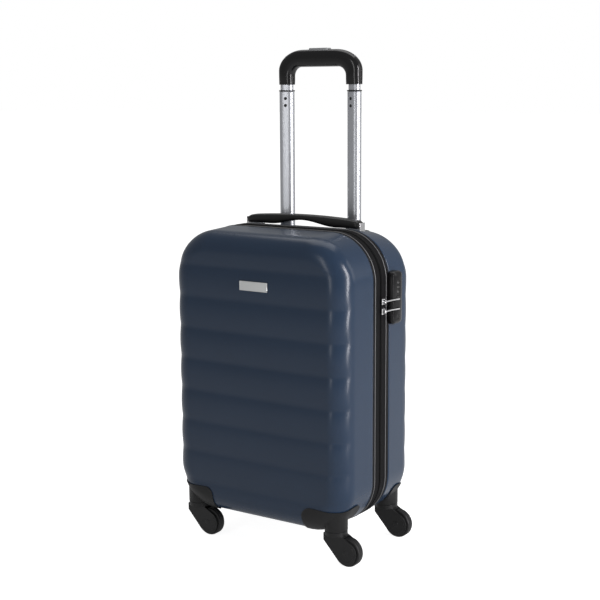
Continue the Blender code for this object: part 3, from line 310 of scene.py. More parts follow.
def makeWeaveGroup():
    # Plain weave: half of 1 + sin(pi u) sin(pi v), with u = x + z and v = y + 0.13 x.
    group, entry, leave = newGroup("plainWeave", {"Threads": 1400.0}, ["Height", "Tone"])
    where = addNode(group, "TexCoord").outputs["Object"]
    inputs = {0: where, "Scale": entry["Threads"]}
    scaled = addNode(group, "VectorMath", inputs, operation="SCALE").outputs[0]
    x, y, z = addNode(group, "SeparateXYZ", {0: scaled}).outputs
    ways = mathNode(group, "ADD", x, z), mathNode(
        group, "ADD", y, mathNode(group, "MULTIPLY", x, 0.13)
    )
    waves = [mathNode(group, "SINE", mathNode(group, "MULTIPLY", way, math.pi)) for way in ways]
    height = mathNode(group, "MULTIPLY_ADD", mathNode(group, "MULTIPLY", *waves), 0.5, 0.5)
    return closeGroup(group, leave, Height=height, Tone=noiseOf(group, where, 60.0, 5.0))


def makeBrushGroup():
    # Drawn metal: noise stretched along z into fine lines.
    group, entry, leave = newGroup("drawnLines", {"Lines": 1500.0}, ["Height", "Tone"])
    where = addNode(group, "TexCoord").outputs["Object"]
    stretch = addNode(group, "Mapping", {"Vector": where, "Scale": (1.0, 1.0, 0.012)})
    lines = noiseOf(group, stretch.outputs["Vector"], entry["Lines"], 2.0)
    return closeGroup(group, leave, Height=lines, Tone=noiseOf(group, where, 22.0, 3.0))


grainGroup = makeGrainGroup()
wearGroup = makeWearGroup()
weaveGroup = makeWeaveGroup()
brushGroup = makeBrushGroup()


def finishOf(name, light, dark, rough, detail=grainGroup, bump=0.1, depth=0.0002, metal=0.0,
             specular=0.5, coat=0.0, coatRough=0.1, wear=0.0, wearColour=(0.1, 0.1, 0.1),
             wearRadius=0.0008, sheen=0.0, values=None):
    # A Principled finish: tone runs from dark to light, rough over its pair of values, the
    # group's height feeds a bump, and worn edges take another colour.
    made = bpy.data.materials.new(name)
    made.use_nodes = True
    tree = made.node_tree
    shader = tree.nodes["Principled BSDF"]
    for label, value in (
        ("Metallic", metal), ("Specular IOR Level", specular), ("Coat Weight", coat),
        ("Coat Roughness", coatRough), ("Sheen Weight", sheen),
    ):
        shader.inputs[label].default_value = value
    pattern = addNode(tree, "Group", values, node_tree=detail).outputs
    mix = {"A": (*dark, 1), "B": (*light, 1), "Factor": pattern["Tone"]}
    colour = addNode(tree, "Mix", mix, data_type="RGBA").outputs["Result"]
    if wear:
        worn = addNode(tree, "Group", {"Radius": wearRadius, "Amount": wear}, node_tree=wearGroup)
        mix = {"A": colour, "B": (*wearColour, 1), "Factor": worn.outputs["Mask"]}
        colour = addNode(tree, "Mix", mix, data_type="RGBA").outputs["Result"]
    span = {"Value": pattern["Tone"], "To Min": rough[0], "To Max": rough[1]}
    relief = {"Height": pattern["Height"], "Strength": bump, "Distance": depth}
    for label, socket in (
        ("Base Color", colour),
        ("Roughness", addNode(tree, "MapRange", span).outputs["Result"]),
        ("Normal", addNode(tree, "Bump", relief).outputs["Normal"]),
    ):
        tree.links.new(socket, shader.inputs[label])
    return made


finishes = {
    "shell": finishOf(
        "shellBlue", (0.0135, 0.0268, 0.0520), (0.0116, 0.0228, 0.0442), (0.22, 0.28), bump=0.05,
        depth=0.0001, specular=0.28, wear=0.3, wearColour=(0.04, 0.06, 0.10), wearRadius=0.0006,
        values={"Size": 1500.0, "Cloud": 9.0},
    ),
    "shellInside": finishOf(
        "shellInside", (0.020, 0.034, 0.055), (0.014, 0.026, 0.044), (0.5, 0.6), bump=0.2,
        values={"Size": 700.0},
    ),
    "tape": finishOf(
        "zipTape", (0.0052, 0.0052, 0.0057), (0.0030, 0.0030, 0.0034), (0.6, 0.75), weaveGroup,
        bump=0.30, depth=0.00012, specular=0.08,
    ),
    "coil": finishOf(
        "zipCoil", (0.0070, 0.0070, 0.0075), (0.0045, 0.0045, 0.0050), (0.50, 0.62), bump=0.1,
        specular=0.12,
    ),
    # The piping's light grey is a painted highlight: it stands for the bright lines of light along
    # the zip band's edges.
    "piping": finishOf(
        "pipingPaintedHighlight", (0.115, 0.115, 0.118), (0.075, 0.075, 0.078), (0.35, 0.5), bump=0.15,
        values={"Size": 1200.0},
    ),
    "zinc": finishOf(
        "polishedZinc", (0.66, 0.66, 0.67), (0.50, 0.50, 0.51), (0.20, 0.32), bump=0.05,
        metal=1.0, depth=0.00005, wear=0.3, wearColour=(0.9, 0.9, 0.9), wearRadius=0.0003,
    ),
    "matteBlack": finishOf(
        "moulded", (0.0068, 0.0070, 0.0073), (0.0048, 0.0050, 0.0053), (0.46, 0.58), bump=0.2,
        depth=0.00012, specular=0.26, wear=0.3, wearColour=(0.035, 0.036, 0.038),
        values={"Size": 1100.0, "Cloud": 30.0},
    ),
    "satinBlack": finishOf(
        "satinMoulded", (0.0070, 0.0070, 0.0074), (0.0048, 0.0048, 0.0052), (0.30, 0.40),
        bump=0.10, depth=0.0001, specular=0.32, wear=0.3, wearColour=(0.04, 0.04, 0.042),
        values={"Size": 1300.0, "Cloud": 30.0},
    ),
    "glossBlack": finishOf(
        "glossMoulded", (0.0050, 0.0050, 0.0054), (0.0034, 0.0034, 0.0038), (0.13, 0.19),
        bump=0.008, depth=0.00003, specular=0.30, coat=0.05, coatRough=0.05,
        values={"Size": 500.0, "Cloud": 12.0},
    ),
    "tyre": finishOf(
        "wheelTread", (
            0.0075, 0.0075, 0.0080
        ), (0.0050, 0.0050, 0.0055), (0.42, 0.58), bump=0.2, specular=0.3,
        values={"Size": 800.0, "Cloud": 60.0}, wear=0.5, wearColour=(0.045, 0.045, 0.047),
    ),
    "aluminium": finishOf(
        "drawnAluminium", (0.45, 0.460, 0.487), (0.41, 0.421, 0.448), (0.36, 0.41), brushGroup,
        bump=0.02, depth=0.00002, metal=1.0, values={"Lines": 900.0},
    ),
    "badge": finishOf(
        "brushedBadge", (0.60, 0.61, 0.61), (0.50, 0.51, 0.51), (0.30, 0.42), brushGroup,
        bump=0.15, depth=0.00005, metal=0.85,
    ),
    "steel": finishOf(
        "zincedSteel", (0.52, 0.52, 0.53), (0.40, 0.40, 0.41), (0.28, 0.42), bump=0.1,
        metal=1.0, depth=0.00005,
    ),
    "button": finishOf(
        "greyButton", (0.200, 0.205, 0.210), (0.165, 0.170, 0.175), (0.34, 0.44), bump=0.15,
        depth=0.0001, values={"Size": 1100.0, "Cloud": 40.0},
    ),
    "lining": finishOf(
        "liningCloth", (0.085, 0.088, 0.096), (0.060, 0.062, 0.068), (0.75, 0.9), weaveGroup,
        bump=0.5, depth=0.0003, specular=0.2, sheen=0.15, values={"Threads": 900.0},
    ),
    "thread": finishOf(
        "sewingThread", (0.030, 0.030, 0.032), (0.016, 0.016, 0.017), (0.5, 0.7), bump=0.3,
        values={"Size": 2500.0, "Cloud": 300.0},
    ),
    "lockGloss": finishOf(
        "lockPlastic", (0.0080, 0.0080, 0.0085), (0.0055, 0.0055, 0.0060), (0.14, 0.22), bump=0.02,
        depth=0.00003, specular=0.20, values={"Size": 700.0, "Cloud": 40.0},
    ),
    "digitPaint": finishOf(
        "digitPaint", (0.16, 0.16, 0.155), (0.11, 0.11, 0.105), (0.4, 0.55), bump=0.1,
        depth=0.00005, values={"Size": 3000.0, "Cloud": 500.0},
    ),
    "handleRubber": finishOf(
        "handleRubber", (0.0062, 0.0062, 0.0066), (0.0042, 0.0042, 0.0046), (0.30, 0.40),
        bump=0.10, depth=0.0001, specular=0.34, wear=0.2, wearColour=(0.035, 0.035, 0.037),
        values={"Size": 1700.0, "Cloud": 25.0},
    ),
    "satinMatte": finishOf(
        "forkMoulded", (0.0064, 0.0066, 0.0070), (0.0044, 0.0046, 0.0050), (0.38, 0.50), bump=0.16,
        depth=0.0001, specular=0.28, wear=0.3, wearColour=(0.040, 0.041, 0.043),
        values={"Size": 1200.0, "Cloud": 45.0},
    ),
    "webbing": finishOf(
        "blackWebbing", (0.016, 0.016, 0.017), (0.009, 0.009, 0.010), (0.7, 0.85), weaveGroup,
        bump=0.8, depth=0.0004, specular=0.25, sheen=0.1, values={"Threads": 650.0},
    ),
}
print("finishes:", len(finishes))


# The case's form, which the zip, the housings and the linings also follow.

case = {
    "centreX": -0.0065,  # the case's middle, in the frame
    "halfWidth": 0.17365,
    "bottom": 0.0485,
    "top": 0.5315,
    "frontDepth": 0.1093,
    "rearDepth": 0.1115,
    "bandHalf": 0.025,
    "cornerRadius": 0.078,
    "faceRadius": 0.034,
    "draft": 0.0035,
    "rearTopFall": 0.0125,  # how far the rear half's top slopes down to its face
    "wall": 0.0025,
    "gap": 0.0003,
    "middleHeight": 0.29,  # a height that is surely inside, to tell inwards from outwards
    "swivelInset": 0.03465,  # from the side to a swivel's axis
    "swivelY": 0.0820,
    "turretHole": 0.0196,
    "turretTop": 0.0671,
    "pillowPitch": 0.053,
    "pillowRelief": 0.0025,
    "sideSteps": 112,  # faces up each side of the outline
    "endSteps": 72,  # faces along its top and its bottom
}


def outlineParts(upSteps=None, acrossSteps=None):
    # The rounded outline as centres and directions, so that a ring at any inset is
    # centre + (radius - inset) * direction. It starts half way round the lower right corner
    # and goes up; arc length is spaced evenly over a quarter's two halves and the straights.
    upSteps, acrossSteps = upSteps or case["sideSteps"], acrossSteps or case["endSteps"]
    radius, x, z0, z1 = (case[k] for k in ("cornerRadius", "halfWidth", "bottom", "top"))
    x, z0, z1 = x - radius, z0 + radius, z1 - radius
    quarter = 0.6 * radius * math.pi / 4
    centres, turns = [], []
    corners = [(x, z0), (x, z1), (-x, z1), (-x, z0)]
    for k, steps in enumerate((upSteps, acrossSteps, upSteps, acrossSteps)):
        start, end = np.array(corners[k]), np.array(corners[(k + 1) % 4])
        straight = np.linalg.norm(end - start)
        along = np.arange(steps) / steps * (straight + 2 * quarter)
        share = ((along - quarter) / straight).clip(0, 1)
        turn = ((along / quarter).clip(0, 1) - 1) + (
            (along - quarter - straight) / quarter
        ).clip(0, 1)
        centres.append(start + share[:, None] * (end - start))
        turns.append(math.pi / 2 * k + turn * math.pi / 4)
    centres, turns = np.concatenate(centres), np.concatenate(turns)
    return centres, np.stack([np.cos(turns), np.sin(turns)], -1)


def ringAt(parts, inset, y):
    # The outline at an inset and a depth, as points in the frame. On the rear half the upper
    # half of the ring comes down in proportion to its depth and to its height above the middle.
    centres, directions = parts
    flat = centres + (case["cornerRadius"] - inset) * directions
    middle = (case["bottom"] + case["top"]) / 2
    share = ((flat[:, 1] - middle) / (case["top"] - middle)).clip(0, 1)
    slope = (case["rearTopFall"] - case["draft"]) / (case["rearDepth"] - case["bandHalf"])
    fall = max(0.0, y - case["bandHalf"]) * slope * share
    return np.stack([flat[:, 0] + case["centreX"], np.full(len(flat), y), flat[:, 1] - fall], -1)


def halfProfile(side, outset=0.0, rim=None, arcSteps=14, sideSteps=16):
    # From the rim to the face's edge: inset, depth, and the tilt of the normal.
    depth = case["frontDepth"] if side < 0 else case["rearDepth"]
    rim = case["bandHalf"] if rim is None else rim
    radius, slope = case["faceRadius"], case["draft"] / (depth - case["bandHalf"])
    y = np.linspace(rim, depth - radius, sideSteps)
    inset = slope * (y - case["bandHalf"])
    angle = np.linspace(0, math.pi / 2, arcSteps + 1)[1:]
    startInset = inset[-1]
    inset = np.concatenate([inset, startInset + radius * (1 - np.cos(angle))])
    tilt = np.concatenate([np.zeros(sideSteps), angle])
    y = np.concatenate([y, depth - radius + radius * np.sin(angle)])
    return inset - outset * np.cos(tilt), y + outset * np.sin(tilt), tilt


def pillowDip(z):
    # How far the face lies under the pillows' crests: a parabola in each pitch, with its
    # valley a little rounded, and nothing past the first and last half pillows.
    along = (z - case["bottom"]) / case["pillowPitch"]
    offCrest = np.abs(2 * (along - np.floor(along)) - 1)
    rounded = offCrest - 0.5 * np.maximum(offCrest - 0.9, 0) ** 2 / 0.1
    dip = case["pillowRelief"] * rounded**2
    count = int((case["top"] - case["bottom"]) / case["pillowPitch"] - 0.5)
    return np.where((along > 0.5) & (along < count + 0.5), dip, 0.0)


def facePatch(ring, upSteps, acrossSteps):
    # A grid that fills a ring: the mean of its opposite edges, less the corners' share.
    loop = np.concatenate([ring, ring[:1]])
    right = loop[: upSteps + 1]
    top = loop[upSteps: upSteps + acrossSteps + 1][::-1]
    left = loop[upSteps + acrossSteps: 2 * upSteps + acrossSteps + 1][::-1]
    bottom = loop[2 * upSteps + acrossSteps:]
    u = np.linspace(0, 1, acrossSteps + 1)[None, :, None]
    v = np.linspace(0, 1, upSteps + 1)[:, None, None]
    blend = (1 - v) * bottom[None] + v * top[None] + (1 - u) * left[:, None] + u * right[:, None]
    corners = (
        (1 - u) * (1 - v) * bottom[0] + u * (1 - v) * bottom[-1]
        + (1 - u) * v * top[0] + u * v * top[-1]
    )
    return blend - corners


def caseShape(side, outset=0.0, rim=None, pillows=True, upSteps=None, acrossSteps=None):
    # One half of the case as an open cup: rings from the rim to the face, then the patch.
    upSteps, acrossSteps = upSteps or case["sideSteps"], acrossSteps or case["endSteps"]
    parts = outlineParts(upSteps, acrossSteps)
    insets, depths, tilts = halfProfile(side, outset, rim)
    rings = np.stack([ringAt(parts, i, side * y) for i, y in zip(insets, depths)])
    directions = parts[1]
    normals = np.stack([
        np.cos(tilts)[:, None] * directions[None, :, 0],
        side * np.sin(tilts)[:, None] + 0 * directions[None, :, 0],
        np.cos(tilts)[:, None] * directions[None, :, 1],
    ], -1)
    patch = facePatch(rings[-1], upSteps, acrossSteps)
    if pillows:
        facing = ((np.sin(tilts) - 0.12) / 0.82).clip(0, 1)[:, None, None]
        fade = facing**2 * (3 - 2 * facing)
        rings = rings - normals * pillowDip(rings[..., 2])[..., None] * fade
        patch = patch - np.array([0, side, 0]) * pillowDip(patch[..., 2])[..., None]
    return joined([gridShape(rings, wrapColumns=True), gridShape(patch)])


def boxOf(*nodes):
    # The lowest and highest corners of one CAD node, or of several together.
    corners = np.array([[list(c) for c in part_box(node)] for node in nodes])
    return corners[:, 0].min(0), corners[:, 1].max(0)


def boolMesh(piece, shape, operation, selfCross=False):
    # The piece's mesh joined with, cut by or kept inside another closed shape.
    mesh = meshOf(piece.name + "Other", shape, sharp=0)
    other = bpy.data.objects.new(mesh.name, mesh)
    bpy.context.scene.collection.objects.link(other)
    made = addModifier(piece, "BOOLEAN", object=other, operation=operation, solver="EXACT")
    made.use_self = selfCross
    bpy.context.view_layer.update()
    graph = bpy.context.evaluated_depsgraph_get()
    result = bpy.data.meshes.new_from_object(piece.evaluated_get(graph), depsgraph=graph)
    old = piece.data
    piece.modifiers.clear()
    piece.data = result
    bpy.data.meshes.remove(old)
    bpy.data.objects.remove(other, do_unlink=True)
    result.name = piece.name
    return piece


def cutHoles(piece, shapes):
    # The piece less all of the shapes.
    return boolMesh(piece, joined(shapes), "DIFFERENCE")


def soften(piece, width, steps=2, angle=35.0):
    # Rounds every edge that turns by more than an angle.
    piece.data.shade_smooth()
    piece.data.set_sharp_from_angle(angle=math.radians(angle))
    addModifier(
        piece, "BEVEL", width=width, segments=steps, limit_method="ANGLE",
        angle_limit=math.radians(angle), use_clamp_overlap=True,
    )
    return piece


def addCaseHalf(side, name, body, neckNodes):
    # A half's cup with its wall inwards, and holes for the turrets and the bezel.
    mesh = meshOf(name, caseShape(side), sharp=0, solid=False)
    turnOutwards(mesh, (case["centreX"], 0.0, case["middleHeight"]))
    piece = addPiece(name, mesh, finishes["shell"], body, [f"{name[:-5]}_shell"])
    mesh.materials.append(finishes["shellInside"])
    addModifier(piece, "SOLIDIFY", thickness=case["wall"], offset=-1, material_offset=1)
    holes = []
    for node in neckNodes:
        holes.append(turnedShape(
            [(case["turretHole"], 0.02), (case["turretHole"], case["turretTop"])],
            (*swivels[node], 0), steps=48,
        ))
    if side > 0:
        low, high = boxOf("trolley_bezel")
        gap = case["gap"]
        holes.append(
            blockShape(low - gap - [0, 0, 0.003], high + gap + [0, 0, 0.03], 0.0003, corner=0.0063)
        )
    return cutHoles(piece, holes)


def turnOutwards(mesh, centre):
    # An open surface is turned so that its faces look away from a point inside it.
    work = bmesh.new()
    work.from_mesh(mesh)
    bmesh.ops.recalc_face_normals(work, faces=work.faces)
    outwards = sum(
        f.normal.dot(f.calc_center_median() - Vector(centre)) * f.calc_area() for f in work.faces
    )
    if outwards < 0:
        bmesh.ops.reverse_faces(work, faces=work.faces)
    work.to_mesh(mesh)
    work.free()


corners = ("front_left", "front_right", "rear_left", "rear_right")
swivels = {  # each swivel's axis, as its x and y
    f"wheel_housing_{corner}": (
        case["centreX"]
        + (1 if "right" in corner else -1) * (case["halfWidth"] - case["swivelInset"]),
        (1 if "rear" in corner else -1) * case["swivelY"],
    )
    for corner in corners
}
addCaseHalf(-1, "frontShell", "lid", [f"wheel_housing_{c}" for c in corners[:2]])
addCaseHalf(1, "rearShell", "rear_case", [f"wheel_housing_{c}" for c in corners[2:]])
print("shells made")


# The zip: tapes, teeth, piping, hinge leaves, stitches, sliders and pulls.

zipper = {
    "chainHalf": 0.0033,
    "tapeOutset": -0.0003,
    "tapeThickness": 0.0016,
    "toothPitch": 0.0019,
    "toothProud": 0.0008,
    "pipingRadius": 0.0008,
    "pipingY": {-1: -0.0190, 1: 0.0150},
    "stitchPitch": 0.0032,
    "stitchLength": 0.0022,
    "stitchRadius": 0.00022,
    "stitchY": 0.0222,
    "leafWidth": 0.0110,
}


def outlineWalk(lengths, outset=0.0):
    # Points at given distances along the rounded outline, upwards from the lower right
    # corner's end, with the outward and onward directions: centre + (radius + outset) * outward.
    radius, half, z0, z1 = (case[k] for k in ("cornerRadius", "halfWidth", "bottom", "top"))
    x, low, high = half - radius, z0 + radius, z1 - radius
    quarter = radius * math.pi / 2
    ends = np.cumsum([0, high - low, quarter, 2 * x, quarter, high - low, quarter, 2 * x, quarter])
    lengths = np.mod(lengths, ends[-1])
    centreX = np.interp(lengths, ends, [x, x, x, -x, -x, -x, -x, x, x])
    centreZ = np.interp(lengths, ends, [low, high, high, high, high, low, low, low, low])
    turn = np.radians(np.interp(lengths, ends, [0, 0, 90, 90, 180, 180, 270, 270, 360]))
    none = np.zeros(len(turn))
    outward = np.stack([np.cos(turn), none, np.sin(turn)], -1)
    onward = np.stack([-np.sin(turn), none, np.cos(turn)], -1)
    middle = np.stack([centreX + case["centreX"], none, centreZ], -1)
    return middle + (radius + outset) * outward, outward, onward, ends[-1]


def repeatedShape(shape, places, along, across, above):
    # One small shape at many places: its x runs along, its y across and its z above.
    points, faces = shape
    moved = places[:, None] + points[None, :, :1] * along[:, None]
    moved = moved + points[None, :, 1:2] * across[:, None] + points[None, :, 2:] * above[:, None]
    shift = np.arange(len(places)) * len(points)
    return moved.reshape(-1, 3), [
        (f[None] + shift[:, None, None]).reshape(-1, f.shape[1]) for f in faces
    ]


def bandShape(profile):
    # A closed profile of (outset, y) pairs carried round the outline.
    parts = outlineParts()
    return gridShape(np.stack([ringAt(parts, -o, y) for o, y in profile]), True, True)


def threadShape(length, radius, sides=6):
    # One stitch: a capsule along x, its rings' radii rising and falling over its length.
    along = np.array([-0.5, -0.38, 0.38, 0.5]) * length
    thick = np.array([0.35, 1.0, 1.0, 0.35]) * radius
    angle = np.arange(sides) * 2 * math.pi / sides
    rings = np.stack([
        np.repeat(
            along[:, None], sides, 1
        ), thick[:, None] * np.cos(angle), thick[:, None] * np.sin(angle),
    ], -1)
    return cappedShape(rings)


def onHinge(places):
    # True on the left side's straight stretch, where the hinge stands instead of the chain.
    radius = case["cornerRadius"]
    left = places[:, 0] < case["centreX"] - case["halfWidth"] + 0.004
    return left & (places[:, 2] > case["bottom"] + radius) & (places[:, 2] < case["top"] - radius)


def stitchRow(y, outset):
    # Stitches round the outline at one depth, evenly pitched.
    total = outlineWalk(np.zeros(1))[3]
    count = round(total / zipper["stitchPitch"])
    places, outward, onward, _ = outlineWalk(np.arange(count) * total / count, outset)
    places = places + [0, y, 0]
    across = np.broadcast_to([0.0, 1.0, 0.0], places.shape)
    stitch = threadShape(zipper["stitchLength"], zipper["stitchRadius"])
    return repeatedShape(stitch, places, onward, across, outward)


def toothShape(side):
    # One tooth: a half round bar across the chain, a little thicker at its root.
    half = zipper["toothPitch"] * 0.36
    angle = np.linspace(0, math.pi, 6)
    section = np.stack([half * np.cos(angle), zipper["toothProud"] * np.sin(angle) ** 0.8], -1)
    section = np.concatenate([section, [(-half, -0.0004), (half, -0.0004)]])
    depths = side * np.array([0.00015, 0.0007, 0.0024, zipper["chainHalf"] - 0.0003])
    scale = np.array([0.72, 1.0, 1.0, 0.8])
    rings = np.stack([
        np.column_stack(
            [section[:, 0] * s, np.full(len(section), d), section[:, 1] * (0.6 + 0.4 * s)]
        )
        for d, s in zip(depths, scale)
    ])
    return cappedShape(rings)


def addZipHalf(side, word, body):
    # A woven band with a sewn dip, its stitches, the teeth (none along the hinge) and the
    # piping: each is a profile or a small shape carried round the outline.
    chain, band = zipper["chainHalf"], case["bandHalf"]
    tapeLow = zipper["tapeOutset"] - zipper["tapeThickness"]
    top = zipper["tapeOutset"]
    sewn = zipper["stitchY"]
    outer = [
        (top - 0.0005, chain), (top, chain + 0.0005), (top, 0.0075), (top + 0.0001, 0.0100),
        (top, 0.0125),
        (top, sewn - 0.0012), (top - 0.0003, sewn - 0.0003), (top - 0.0003, sewn + 0.0003),
        (top, sewn + 0.0012), (top, band - 0.0008), (top - 0.0005, band - 0.0003),
    ]
    profile = [(o, side * y) for o, y in outer + [(tapeLow, band - 0.0003), (tapeLow, chain)]]
    addShape(
        word + "ZipTape", bandShape(profile), finishes["tape"], body, [word + "_zip_tape"],
    )
    addShape(
        word + "TapeStitches", stitchRow(
            side * sewn, top - 0.0002
        ), finishes["thread"], body, [], 0
    )
    total = outlineWalk(np.zeros(1))[3]
    count = round(total / zipper["toothPitch"])
    lengths = (np.arange(count) + (0.5 if side > 0 else 0.0)) * total / count
    places, outward, onward, _ = outlineWalk(lengths)
    kept = ~onHinge(places)
    places, outward, onward = places[kept], outward[kept], onward[kept]
    across = np.broadcast_to([0.0, 1.0, 0.0], places.shape)
    addShape(
        word + "ZipTeeth", repeatedShape(toothShape(side), places, onward, across, outward),
        finishes["coil"], body, [word + "_zip_teeth"],
    )
    # The piping's light grey finish is a painted highlight.
    radius, y = zipper["pipingRadius"], zipper["pipingY"][side]
    angle = np.linspace(-0.25, math.pi + 0.25, 10)
    cord = [(radius * math.sin(a), y + radius * math.cos(a)) for a in angle]
    addShape(
        word + "Piping", bandShape(cord), finishes["piping"], body, [word + "_piping"]
    )
    addHingeLeaf(side, word, body)


def addHingeLeaf(side, word, body):
    # A strip of heavy cloth on the left side, with two sewn rows.
    low, high = boxOf(word + "_hinge_leaf")
    strip = blockShape(low, high, 0.00035, "x", 0.0004)
    addShape(
        word + "HingeLeaf", strip, finishes["webbing"], body, [word + "_hinge_leaf"]
    )
    count = int((high[2] - low[2] - 0.006) / zipper["stitchPitch"])
    z = low[2] + 0.003 + np.arange(count) * zipper["stitchPitch"]
    rows = []
    for y in (side * 0.0028, side * (zipper["leafWidth"] - 0.0022)):
        places = np.stack([np.full(count, low[0] - 0.0001), np.full(count, y), z], -1)
        rows.append(repeatedShape(
            threadShape(zipper["stitchLength"], zipper["stitchRadius"]), places,
            *(
                np.broadcast_to(v, places.shape) for v in (
                    [0.0, 0.0, 1.0], [0.0, 1.0, 0.0], [-1.0, 0.0, 0.0]
                )
            ),
        ))
    addShape(word + "LeafStitches", joined(rows), finishes["thread"], body, [], 0)


for side, word, body in ((-1, "front", "lid"), (1, "rear", "rear_case")):
    addZipHalf(side, word, body)
for word, body in (("upper", "zip_pull_upper"), ("lower", "zip_pull_lower")):
    polishedCopy(
        word + "Slider", "zip_slider_" + word, finishes["zinc"], "rear_case", 0.0004, 2,
    )
    polishedCopy(word + "Pull", "zip_pull_" + word, finishes["zinc"], body, 0.0006, 3)
print("zip made")


# The lock with its three number wheels, and the plain badge.

lock = {
    "dialKnurls": 20,
    "digitSize": 0.0032,
    "badgeBorder": 0.0009,
    "badgeCorner": 0.0012,
    "badgeSink": 0.00018,
}


def dialShape(centre, radius, thickness):
    # A number wheel: its rim dips between the knurls near both ends, and runs smooth between.
    low = centre[2] - thickness / 2
    steps = lock["dialKnurls"] * 6
    angle = np.arange(steps) * 2 * math.pi / steps
    knurl = 0.5 - 0.5 * np.cos(angle * lock["dialKnurls"])
    levels = [(0.0, 0.9, 0), (0.0003, 0.97, 1), (0.0012, 0.985, 1), (0.0016, 1.0, 0),
        (0.0034, 1.0, 0),
              (0.0038, 0.985, 1), (0.0047, 0.97, 1), (0.0050, 0.9, 0)]
    rings = []
    for height, scale, dips in levels:
        reach = radius * scale - 0.00022 * dips * knurl
        rings.append(np.stack([
            centre[0] + reach * np.cos(angle), centre[1] + reach * np.sin(angle),
            np.full(steps, low + height * thickness / 0.005),
        ], -1))
    return cappedShape(np.stack(rings))


def digitMesh(name, number, centre, radius):
    # The numbers 0 to 9 round a dial: each glyph is wrapped on the rim by x -> angle x / radius.
    shapes = []
    for k in range(10):
        curve = bpy.data.curves.new(name, "FONT")
        curve.body = str((number + k) % 10)
        curve.size = lock["digitSize"]
        curve.align_x, curve.align_y = "CENTER", "CENTER"
        curve.extrude = 0.00003
        holder = bpy.data.objects.new(name, curve)
        bpy.context.scene.collection.objects.link(holder)
        bpy.context.view_layer.update()
        mesh = bpy.data.meshes.new_from_object(
            holder.evaluated_get(bpy.context.evaluated_depsgraph_get())
        )
        flat = np.empty(len(mesh.vertices) * 3, np.float32)
        mesh.vertices.foreach_get("co", flat)
        flat = flat.reshape(-1, 3).astype(float)
        mesh.calc_loop_triangles()
        triangles = np.empty(len(mesh.loop_triangles) * 3, np.int32)
        mesh.loop_triangles.foreach_get("vertices", triangles)
        bpy.data.objects.remove(holder, do_unlink=True)
        bpy.data.meshes.remove(mesh)
        bpy.data.curves.remove(curve)
        angle = k * math.pi / 5 + flat[:, 0] / radius
        reach = radius + 0.00002 + flat[:, 2]
        points = np.stack([
            centre[0] + reach * np.cos(angle), centre[1] + reach * np.sin(angle),
            centre[2] + flat[:, 1],
        ], -1)
        shapes.append((points, [triangles.reshape(-1, 3)]))
    return meshOf(name, joined(shapes), sharp=0)


def addLock():
    # The housing, the three number wheels, the button and the key barrel.
    polishedCopy(
        "lockHousing", "lock_housing", finishes["lockGloss"], "rear_case", 0.0006, 3,
    )
    for k in range(3):
        node = f"lock_dial_{k + 1}"
        low, high = boxOf(node)
        middle, radius = (low + high) / 2, (high[1] - low[1]) / 2
        addShape(f"lockDial{k + 1}", dialShape(middle, radius, high[2] - low[2]),
            finishes["satinBlack"],
                 node, [node])
        addPiece(f"dialDigits{k + 1}",
            digitMesh(f"dialDigits{k + 1}", (3 * k) % 10, middle, radius),
                 finishes["digitPaint"], node, [])
    polishedCopy(
        "lockButton", "lock_button", finishes["satinBlack"], "lock_button", 0.0004, 2,
    )
    polishedCopy(
        "keyBarrel", "lock_key_barrel", finishes["satinMatte"], "lock_key_barrel", 0.00025, 2,
    )


def addBadge():
    # A plate with a fine raised border round a sunk field.
    low, high = boxOf("badge_plate")
    middle, half = (low + high) / 2, (high - low) / 2
    border, sink = lock["badgeBorder"], lock["badgeSink"]
    outline = roundBox(half[0], half[2], lock["badgeCorner"], 5) + middle[[0, 2]]
    steps = [(0.0, high[1]), (0.0, low[1] + 0.0004), (0.00012, low[1] + 0.00012), (0.0004, low[1]),
             (border, low[1]), (border + sink, low[1] + sink)]
    rings = np.stack([lifted(insetOutline(outline, i), y, "y") for i, y in steps])
    addShape(
        "badgePlate", cappedShape(rings), finishes["badge"], "lid", ["badge_plate"], 8
    )


addLock()
addBadge()
print("lock and badge made")


# The carry handle and its two brackets.

handle = {
    "half": 0.1130,
    "width": 0.0220,
    "y": 0.0395,
    "seat": 0.53129,
    "endThickness": 0.0135,
    "endLength": 0.047,
    "underRise": 0.0090,
    "topRise": 0.0050,
    "endRound": 0.0090,  # length over which the ends close in
    "squareness": 0.52,  # 1 is an oval section, near 0 a box
    "bracketLength": 0.0260,
    "bracketWidth": 0.0160,
    "bracketMetal": 0.0012,
    "lift": 0.0040,
}


def shoulderDrop(x):
    # How far the outline has fallen below its top: radius - sqrt(radius^2 - past^2).
    radius = case["cornerRadius"]
    past = np.maximum(0, np.abs(x) - (case["halfWidth"] - radius))
    return radius - np.sqrt(radius**2 - past**2)


def handleUnder(x):
    # The arch under the grip is one raised cosine between the two thick ends.
    reach = handle["half"] - handle["endLength"]
    hump = 0.5 * (1 + np.cos(math.pi * np.minimum(1, np.abs(x) / reach)))
    return handle["seat"] + handle["underRise"] * hump - shoulderDrop(x)


def handleOver(x):
    # The top is crowned by 1 - (x / half)^2 and falls with the case's shoulder.
    crown = handle["topRise"] * (1 - (x / handle["half"]) ** 2)
    return handle["seat"] + handle["endThickness"] + crown - shoulderDrop(x)


